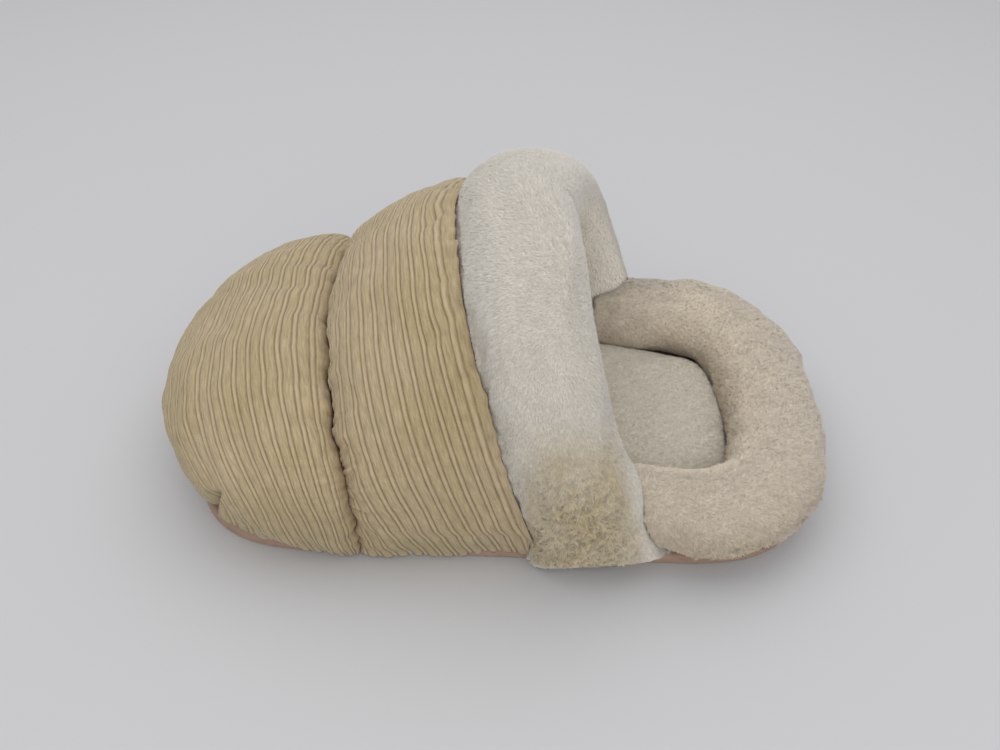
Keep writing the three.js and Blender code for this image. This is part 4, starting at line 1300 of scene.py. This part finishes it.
# %% Blades
def plant(name, cloth_grid, count, seed, hair):
    """Blades of pile: each leans from the normal towards the flow, with its clump's own turn and length."""
    random = np.random.default_rng(seed)
    root, normal, spot = roots(cloth_grid, count, hair["keep"], random)
    way = flattened(hair["flow"](root), normal)
    clump = np.stack([lumps(root, BLADE["clump"], seed + k) for k in (1, 2, 3)], axis=-1)
    strength = hair["strength"](root)[:, None]
    way = way + BLADE["scatter"] * random.normal(size=(count, 3)) + strength * clump * BLADE["clump_way"]
    way = unit(flattened(unit(way), normal))
    tilt = hair["lean"](root) + BLADE["tilt_scatter"] * random.normal(size=count)
    tilt = np.clip(tilt, BLADE["least_tilt"], BLADE["most_tilt"])[:, None]
    direction = normal * np.cos(tilt) + way * np.sin(tilt)
    side = unit(np.cross(normal, direction))
    clumped = 1 + BLADE["clump_length"] * strength[:, 0] * clump[:, 2]
    long = hair["length"](root) * random.uniform(0.75, 1.2, count) * clumped
    long = (long * (1 - 0.5 * np.clip(-1.6 * normal[:, 2], 0, 1)))[:, None]
    half = side * (hair["width"](root) * random.uniform(0.8, 1.2, count))[:, None] / 2
    blades = np.stack([root + half, root - half, root + direction * long], axis=1)
    blades[..., 2] = np.maximum(blades[..., 2], FLOOR_ROOM)
    inner = hair["inner"](root, normal)
    shine = lit_normals(normal, direction, root, inner, hair["shine"], random)
    # A blade's own tone: partly random, partly the painted light or painted shade from its plush's table.
    mottle = 0.5 + 0.26 * lumps(root, 2.6, seed + 9) + 0.5 * (random.random(count) - 0.5)
    values = {"tip": np.tile([0.0, 0.0, 1.0], count),
              "shade": np.repeat(mottle + hair["painted_light"](root, inner), 3),
              "tuft": np.repeat(np.clip(0.55 + 0.4 * curls(root), 0, 1), 3),
              "curl": np.repeat(hair["curl"](root), 3)}
    corner = np.array([[0, 0], [1, 0], [0, 1]]) * BLADE["bake_size"]
    spots = np.repeat(spot * 0.98 + 0.01, 3, axis=0) + np.tile(corner, (count, 1))
    faces = np.arange(3 * count).reshape(-1, 3)
    pile = make_piece(name, blades.reshape(-1, 3), faces, values, {"OFBake": spots})
    pile.data.normals_split_custom_set_from_vertices(np.repeat(shine, 3, axis=0).astype(np.float32))
    print(name, "leans", (tilt.mean() / DEGREE).round(), "degrees on average")
    return pile


# %% [markdown]
# ## Which way the plush lies
#
# Hands and seams stroke plush downwards. Hair that points down the sides looks bright and soft, and hair
# that stands against the light looks dark, so every flow here goes down. Each kind of plush gets its own
# table: the blade's length and width in millimetres, its lean in radians from the cloth's normal, the
# strength of its clumps, the scatter of its shine, how curly it is, which sides are inner ones, and how
# much painted light or painted shade it gets.

# %% Combing
def combed(root):
    """The plush is stroked down every side, and along and away on top."""
    along = 0.45 * np.sign(root[:, 0] - 40)
    return np.stack([along, np.full(len(root), 0.35), np.full(len(root), -0.85)], axis=-1)


def same(value):
    """A quantity that is the same for every root."""
    return lambda root: np.full(len(root), value)


# %% [markdown]
# ## Pile of the roll
#
# The off-white plush is short and smooth, combed down both legs and towards the toe on top. Low on the near
# leg it is worn into curls. The edge that faces the heel and the far leg's inner side are painted paler, as
# painted light.

# %% Pile of the cuff
def along_the_arch(root):
    """Combed down both legs, inside and out, and along the roll's top to the toe side."""
    top = smooth((root[:, 2] - 190) / 50)
    return np.stack([-0.9 * top, 0.5 * top, np.full(len(root), -1.0)], axis=-1)


def heel_edge(root):
    """1 on the near leg's edge that faces the heel, which is painted paler as painted light, and 0
    elsewhere.
    """
    x, y, z = root[:, 0], root[:, 1], root[:, 2]
    return smooth((x - 100 - 0.25 * (110 - z)) / 26) * smooth((210 - z) / 90) * (y < 0)


def cuff_shows(centre, normal):
    """Hidden parts need less pile: the foot's underside and the side that the hood covers."""
    hidden = (centre[:, 2] < 3) | ((normal[:, 0] < -0.93) & (centre[:, 2] > 20))
    return np.where(hidden, 0.05, 1.0) * np.where(centre[:, 1] > 60, 0.7, 1.0)


CREAM_HAIR = {
    "flow": along_the_arch,
    "keep": cuff_shows,
    "length": lambda root: 3.3 + 0.3 * low_near(root),
    "width": lambda root: 1.05 + 0.1 * low_near(root),
    "lean": lambda root: 1.24 - 0.30 * low_near(root),
    "strength": lambda root: 0.15 + 1.0 * low_near(root),
    "shine": 0.06,
    "curl": lambda root: 0.10 + 0.95 * low_near(root),
    # The far leg's inner side and the heel's edge are painted paler, as painted light.
    "inner": lambda root, normal: smooth(-1.5 * normal[:, 1]) * smooth(root[:, 1] / 60),
    "painted_light": lambda root, inner: 1.5 * inner + 0.8 * heel_edge(root),
}
cuff_pile = plant("cuff_pile", cuff_cloth_grid, 195_000, 61, CREAM_HAIR)

# %% [markdown]
# ## Pile of the bolster
#
# The beige plush is ruffled all over, and low at the heel's near corner it is longest, hangs in loose tufts
# and hides most of the sole's edge. Its inner side faces the pad, so the light that the pad throws back is
# added there as painted light. The far arm is painted a little darker, as painted shade.

# %% Pile of the bolster
def far_arm(root):
    """1 on the far arm, whose plush is painted a little darker as painted shade, and 0 elsewhere."""
    return smooth((root[:, 1] - 40) / 80) * smooth((230 - root[:, 0]) / 120)


def bolster_shows(centre, normal):
    """The underside on the sole needs next to no pile."""
    return np.where(normal[:, 2] < -0.8, 0.05, 1.0)


def faces_pad(root, normal):
    """1 where the bolster's cloth faces the pad's heel end, and 0 elsewhere."""
    return smooth(-((root[:, 0] - BOLSTER["bend_x"]) * normal[:, 0] + root[:, 1] * normal[:, 1]) / 60)


BEIGE_HAIR = {
    "flow": combed,
    "keep": bolster_shows,
    "length": lambda root: 3.2 + 2.6 * heel_low(root),
    "width": lambda root: 1.0 + 0.9 * heel_low(root),
    "lean": lambda root: 1.18 - 0.30 * heel_low(root),
    "strength": lambda root: 0.50 + 0.35 * heel_low(root),
    "shine": 0.09,
    "curl": lambda root: 0.30 + 0.3 * heel_low(root),
    "inner": faces_pad,
    # Painted light where the bolster faces the pad, and painted shade on the far arm.
    "painted_light": lambda root, inner: inner - 1.2 * far_arm(root),
}
bolster_pile = plant("heel_bolster_pile", bolster_cloth_grid, 195_000, 71, BEIGE_HAIR)

# %% [markdown]
# ## Pile of the pad
#
# The pad's plush is the shortest hair of all and lies nearly flat, because a sleeping animal presses it
# down. It is the same all over, so its table gives every root the same number.

# %% Pile of the pad
def pad_shows(centre, normal):
    """The underside and the far end in the toe need little pile."""
    return np.where(normal[:, 2] < -0.2, 0.03, 1.0) * np.where(centre[:, 0] < -60, 0.5, 1.0)


STONE_HAIR = {
    "flow": combed,
    "keep": pad_shows,
    "length": same(2.8),
    "width": same(1.0),
    "lean": same(1.28),
    "strength": same(0.40),
    "shine": 0.08,
    "curl": same(0.22),
    "inner": lambda root, normal: np.zeros(len(root)),
    "painted_light": lambda root, inner: inner,
}
pad_pile = plant("pad_pile", pad_cloth_grid, 150_000, 81, STONE_HAIR)

# %% [markdown]
# ## Suede cloth
#
# The sole's brown suede cloth is a fine knit with a brushed face. It is matt with a faint mottle about 9 mm
# wide, and its nap of about a millimetre is drawn as bump, because the hairs themselves are too fine to
# show.

# %% Suede cloth
SUEDE = {"dark": "957a68", "light": "ae9684"}


def suede_cloth():
    """Two browns mottled at 9 mm, and a fine nap as bump."""
    material, tree, shader = new_material("suede_cloth")
    place = add(tree, "ShaderNodeTexCoord", {}, {}).outputs["Object"]
    mottle = noise(tree, place, 9 * MM, 3.0)
    nap = noise(tree, place, 1.2 * MM, 2.0)
    bump = add(tree, "ShaderNodeBump", {}, {"Height": nap, "Strength": 0.5, "Distance": 0.6 * MM})
    colour = blended(tree, mottle, linear(SUEDE["dark"]), linear(SUEDE["light"]))
    tree.links.new(colour, shader.inputs["Base Color"])
    tree.links.new(bump.outputs[0], shader.inputs["Normal"])
    shader.inputs["Roughness"].default_value = 0.95
    print(material.name, "has", len(tree.nodes), "nodes")
    return material


# %% [markdown]
# ## Cotton corduroy
#
# Cotton pile is matt, but cut pile catches light at a low angle, so it gets sheen. Its colour drifts over
# some 70 mm where hands have rubbed it. Along the wales run streaks of single tufts, 1.4 mm wide and 13 mm
# long, and across them ticks of the weave at about a millimetre, both measured on the map called cloth.
# Grooves show the darker ground weave, with painted shade added in them. The thin wales' crowns and the
# hem's scallops are painted paler, as a painted highlight, and seams are painted a darker brown, as painted
# shade in their valley.

# %% Corduroy
# The paler colour is a painted highlight, the groove colour is the ground weave's own with painted shade,
# and the seam colour is painted shade.
CORDUROY = {"dark": "a39265", "light": "c0ad90", "painted_light": "cbb99b", "groove": "6e552c", "seam": "8f6f4a"}


def cotton_corduroy():
    """Varied wale colour, darker in grooves by weave and painted shade, in seams by painted shade, and
    painted highlights.
    """
    material, tree, shader = new_material("cotton_corduroy")
    place = add(tree, "ShaderNodeTexCoord", {}, {}).outputs["Object"]
    cloth = add(tree, "ShaderNodeUVMap", {"uv_map": "cloth"}, {}).outputs[0]
    streaked = add(tree, "ShaderNodeMapping", {},
                   {"Vector": cloth, "Scale": (1 / (1.4 * MM), 1 / (13 * MM), 1.0)})
    ticked = add(tree, "ShaderNodeMapping", {},
                 {"Vector": cloth, "Scale": (1 / (4 * MM), 1 / (1.1 * MM), 1.0)})
    streaks = noise(tree, streaked.outputs[0], 1.0, 3.0)
    ticks = noise(tree, ticked.outputs[0], 1.0, 2.0)
    ground = blended(tree, noise(tree, place, 70 * MM, 2.0), linear(CORDUROY["dark"]),
                     linear(CORDUROY["light"]))
    colour = blended(tree, 1.0, ground, ranged(tree, streaks, 0.3, 0.7, 0.74, 1.13), "MULTIPLY")
    # Each mark blends in its colour: the painted highlight, the grooves' weave with painted shade, the
    # seam's painted shade.
    for mark, strength in (("painted_light", 0.45), ("groove", 0.5), ("seam", 0.8)):
        share = worked(tree, "MULTIPLY", attribute(tree, mark), strength)
        colour = blended(tree, share, colour, linear(CORDUROY[mark]))
    bump = add(tree, "ShaderNodeBump", {}, {"Height": ticks, "Strength": 0.55, "Distance": 0.7 * MM})
    tree.links.new(colour, shader.inputs["Base Color"])
    tree.links.new(bump.outputs[0], shader.inputs["Normal"])
    shader.inputs["Roughness"].default_value = 0.9
    shader.inputs["Sheen Weight"].default_value = 0.15
    shader.inputs["Sheen Roughness"].default_value = 0.5
    print(material.name, "has", len(tree.nodes), "nodes")
    return material


# %% [markdown]
# ## Polyester plush
#
# Every hair is darker at its root, where its neighbours shade it, and paler at its tip, and each blade is a
# little lighter or darker than the next, partly at random and partly by painted light or painted shade on
# some sides. Curly places are darker between their tufts, as painted shade. Where the roll's near foot is
# worn, the plush has turned yellowish: a patch bounded by height and side, shown only where the pile is
# curly. One function makes the three plushes, and for the pad the worn patch lies outside it.

# %% Plush
def worn_patch(tree, place, curl, worn):
    """How worn the plush is: low and to the near side, only where it is curly, in 50 mm blotches."""
    parts = add(tree, "ShaderNodeSeparateXYZ", {}, {0: place}).outputs
    low = ranged(tree, parts["Z"], worn["low"], worn["high"], 1.0, 0.0, "SMOOTHSTEP")
    near = ranged(tree, parts["Y"], worn["near"], worn["far"], 1.0, 0.0, "SMOOTHSTEP")
    curly = ranged(tree, curl, 0.08, 0.4)
    blotch = ranged(tree, noise(tree, place, 50 * MM, 2.0), 0.3, 0.7, 0.55, 1.0)
    patch = worked(tree, "MULTIPLY", worked(tree, "MULTIPLY", low, near), curly)
    return worked(tree, "MULTIPLY", patch, blotch)


def polyester_plush(name, root_colour, tip_colour, worn_colour, worn):
    """Hair with painted shade at its root, each blade lighter or darker partly by painted light, tinted
    where worn.
    """
    material, tree, shader = new_material(name)
    place = add(tree, "ShaderNodeTexCoord", {}, {}).outputs["Object"]
    tip, tuft, shade, curl = (attribute(tree, value) for value in ("tip", "tuft", "shade", "curl"))
    hair = blended(tree, tip, linear(root_colour), linear(tip_colour))
    patch = worn_patch(tree, place, curl, worn)
    tinted = blended(tree, patch, hair, linear(worn_colour), "MULTIPLY")
    # The shade value carries each blade's own tone and its painted light or painted shade.
    uneven = worked(tree, "MULTIPLY_ADD", shade, 0.2, 0.9)
    # painted shade between the tufts of curly places
    deep = worked(tree, "MULTIPLY", worked(tree, "SUBTRACT", 0.62, tuft), curl)
    tufted = worked(tree, "MULTIPLY_ADD", deep, -0.45, 1.0)
    light = worked(tree, "MULTIPLY", uneven, tufted)
    tree.links.new(blended(tree, 1.0, tinted, light, "MULTIPLY"), shader.inputs["Base Color"])
    shader.inputs["Roughness"].default_value = 1.0
    shader.inputs["Sheen Weight"].default_value = 0.2
    shader.inputs["Sheen Roughness"].default_value = 0.6
    print(material.name, "has", len(tree.nodes), "nodes")
    return material


WORN = {
    "cuff": {"low": 0.13, "high": 0.24, "near": -0.15, "far": -0.08},
    "bolster": {"low": 0.03, "high": 0.09, "near": 0.05, "far": 0.20},
    "pad": {"low": 0.0, "high": 0.01, "near": -1.0, "far": -0.9},
}
cuff_cloth = polyester_plush("polyester_plush_cream", "cfc8bb", "e2ddd2", "e6d8b6", WORN["cuff"])
bolster_cloth = polyester_plush("polyester_plush_beige", "c9bda8", "ddd1c0", "e8dfd0", WORN["bolster"])
pad_cloth = polyester_plush("polyester_plush_stone", "cdc3b0", "dcd4c4", "c9b48c", WORN["pad"])
suede = suede_cloth()
corduroy = cotton_corduroy()

# %% [markdown]
# ## Joining the frame
#
# Every piece rides on the one body and gets its finish. Each of the six skins stands for its solid, which is
# hidden. The table also gives each piece a slot and each skin how full it is stuffed (the sole firm, the
# hood's panels and the pad more giving), but nothing here reads those two. The piles stand for no solid,
# because they are only the hair on their cloth.

# %% Ride and replace
PIECES = [
    {"piece": sole, "material": suede, "slot": "suede_cloth", "node": "sole", "fill": 0.9},
    {"piece": toe_band, "material": corduroy, "slot": "corduroy", "node": "toe_band", "fill": 0.75},
    {"piece": instep_band, "material": corduroy, "slot": "corduroy", "node": "instep_band", "fill": 0.7},
    {"piece": cuff, "material": cuff_cloth, "slot": "cuff_plush", "node": "cuff", "fill": 0.8},
    {"piece": bolster, "material": bolster_cloth, "slot": "bolster_plush", "node": "heel_bolster",
     "fill": 0.8},
    {"piece": pad, "material": pad_cloth, "slot": "pad_plush", "node": "pad", "fill": 0.6},
    {"piece": cuff_pile, "material": cuff_cloth, "slot": "cuff_plush", "node": None, "fill": None},
    {"piece": bolster_pile, "material": bolster_cloth, "slot": "bolster_plush", "node": None, "fill": None},
    {"piece": pad_pile, "material": pad_cloth, "slot": "pad_plush", "node": None, "fill": None},
]
for row in PIECES:
    row["piece"].data.materials.append(row["material"])
    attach(row["piece"], "root")
    if row["node"]:
        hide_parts(row["node"])
print("triangles in all", sum(len(row["piece"].data.polygons) for row in PIECES))

# %% [markdown]
# ## Floor
#
# A pale matt floor shows where the bed stands, by its contact shadow, and throws some light back on its
# sides. It is one large flat square, and it belongs to the stage only, not to the part.

# %% Floor
def make_floor():
    """One large flat square at the height of the sole's underside."""
    mesh = bpy.data.meshes.new("floor")
    mesh.from_pydata([(-6, -6, 0), (6, -6, 0), (6, 6, 0), (-6, 6, 0)], [], [(0, 1, 2, 3)])
    piece = bpy.data.objects.new("floor", mesh)
    bpy.context.scene.collection.objects.link(piece)
    material, tree, shader = new_material("matt_paper")
    shader.inputs["Base Color"].default_value = linear("c9c9ca")
    shader.inputs["Roughness"].default_value = 0.9
    shader.inputs["Specular IOR Level"].default_value = 0.2
    mesh.materials.append(material)


make_floor()

# %% [markdown]
# ## Light
#
# An even pale sky and two large soft lamps, one overhead and one in front, give the mild shadows of a light
# tent. The overhead lamp stands a little to the far side, so the shadow falls to the front. The lamps are
# 3.0 m and 2.4 m wide, because a lamp much larger than the bed is what makes the edge of its shadow soft.

# %% Light
def aimed(right, up, back, place):
    """The matrix whose columns are the right, up and back directions and the place."""
    rows = [[float(way[k]) for way in (right, up, back, place)] for k in range(3)]
    return Matrix(rows + [[0, 0, 0, 1]])


def make_light(name, place, aim, size, power):
    """A square lamp that faces a point."""
    data = bpy.data.lights.new(name, "AREA")
    data.size, data.energy = size, power
    lamp = bpy.data.objects.new(name, data)
    bpy.context.scene.collection.objects.link(lamp)
    back = unit(np.array(place, float) - np.array(aim, float))
    right = unit(np.cross([0.0, 1.0, 0.001], back))
    up = np.cross(back, right)
    lamp.matrix_world = aimed(right, up, back, place)
    print(name, "lamp is", size, "m wide and gives", power, "W")


sky = bpy.data.worlds.new("pale_sky")
bpy.context.scene.world = sky
sky.use_nodes = True
sky.node_tree.nodes["Background"].inputs[0].default_value = (0.985, 0.99, 1.02, 1.0)
sky.node_tree.nodes["Background"].inputs[1].default_value = 0.57
make_light("overhead", (-0.1, 0.45, 1.9), (0.0, 0.1, 0.1), 3.0, 21.5)
make_light("front", (0.4, -2.1, 1.3), (0.05, 0.0, 0.1), 2.4, 21.0)
bpy.context.scene.view_settings.view_transform = "Standard"

# %% [markdown]
# ## Camera
#
# The camera looks down on the near side, at the angle and distance that were fitted to the outlines of the
# real bed. The frame's width in pixels and the focal length in pixels give the lens.

# %% Camera
CAMERA = {"azimuth": 2.764 * DEGREE, "elevation": 37.605 * DEGREE, "distance": 0.9762,
          "target": (0.00588, 0.01717, 0.060), "focal_pixels": 1031.44, "frame_pixels": 1000}


def make_camera():
    """Back along the view from the target, upright, the focal length as a share of the frame."""
    a, e = CAMERA["azimuth"], CAMERA["elevation"]
    back = np.array([math.sin(a) * math.cos(e), -math.cos(a) * math.cos(e), math.sin(e)])
    right = np.array([math.cos(a), math.sin(a), 0.0])
    up = np.cross(back, right)
    place = np.array(CAMERA["target"]) + CAMERA["distance"] * back
    data = bpy.data.cameras.new("camera")
    data.sensor_fit = "HORIZONTAL"
    data.sensor_width = 36.0
    data.lens = 36.0 * CAMERA["focal_pixels"] / CAMERA["frame_pixels"]
    data.clip_start, data.clip_end = 0.05, 50.0
    camera = bpy.data.objects.new("camera", data)
    bpy.context.scene.collection.objects.link(camera)
    camera.matrix_world = aimed(right, up, back, place)
    bpy.context.scene.camera = camera
    print("camera stands at", place.round(3), "with a lens of", round(data.lens, 2), "mm")


make_camera()
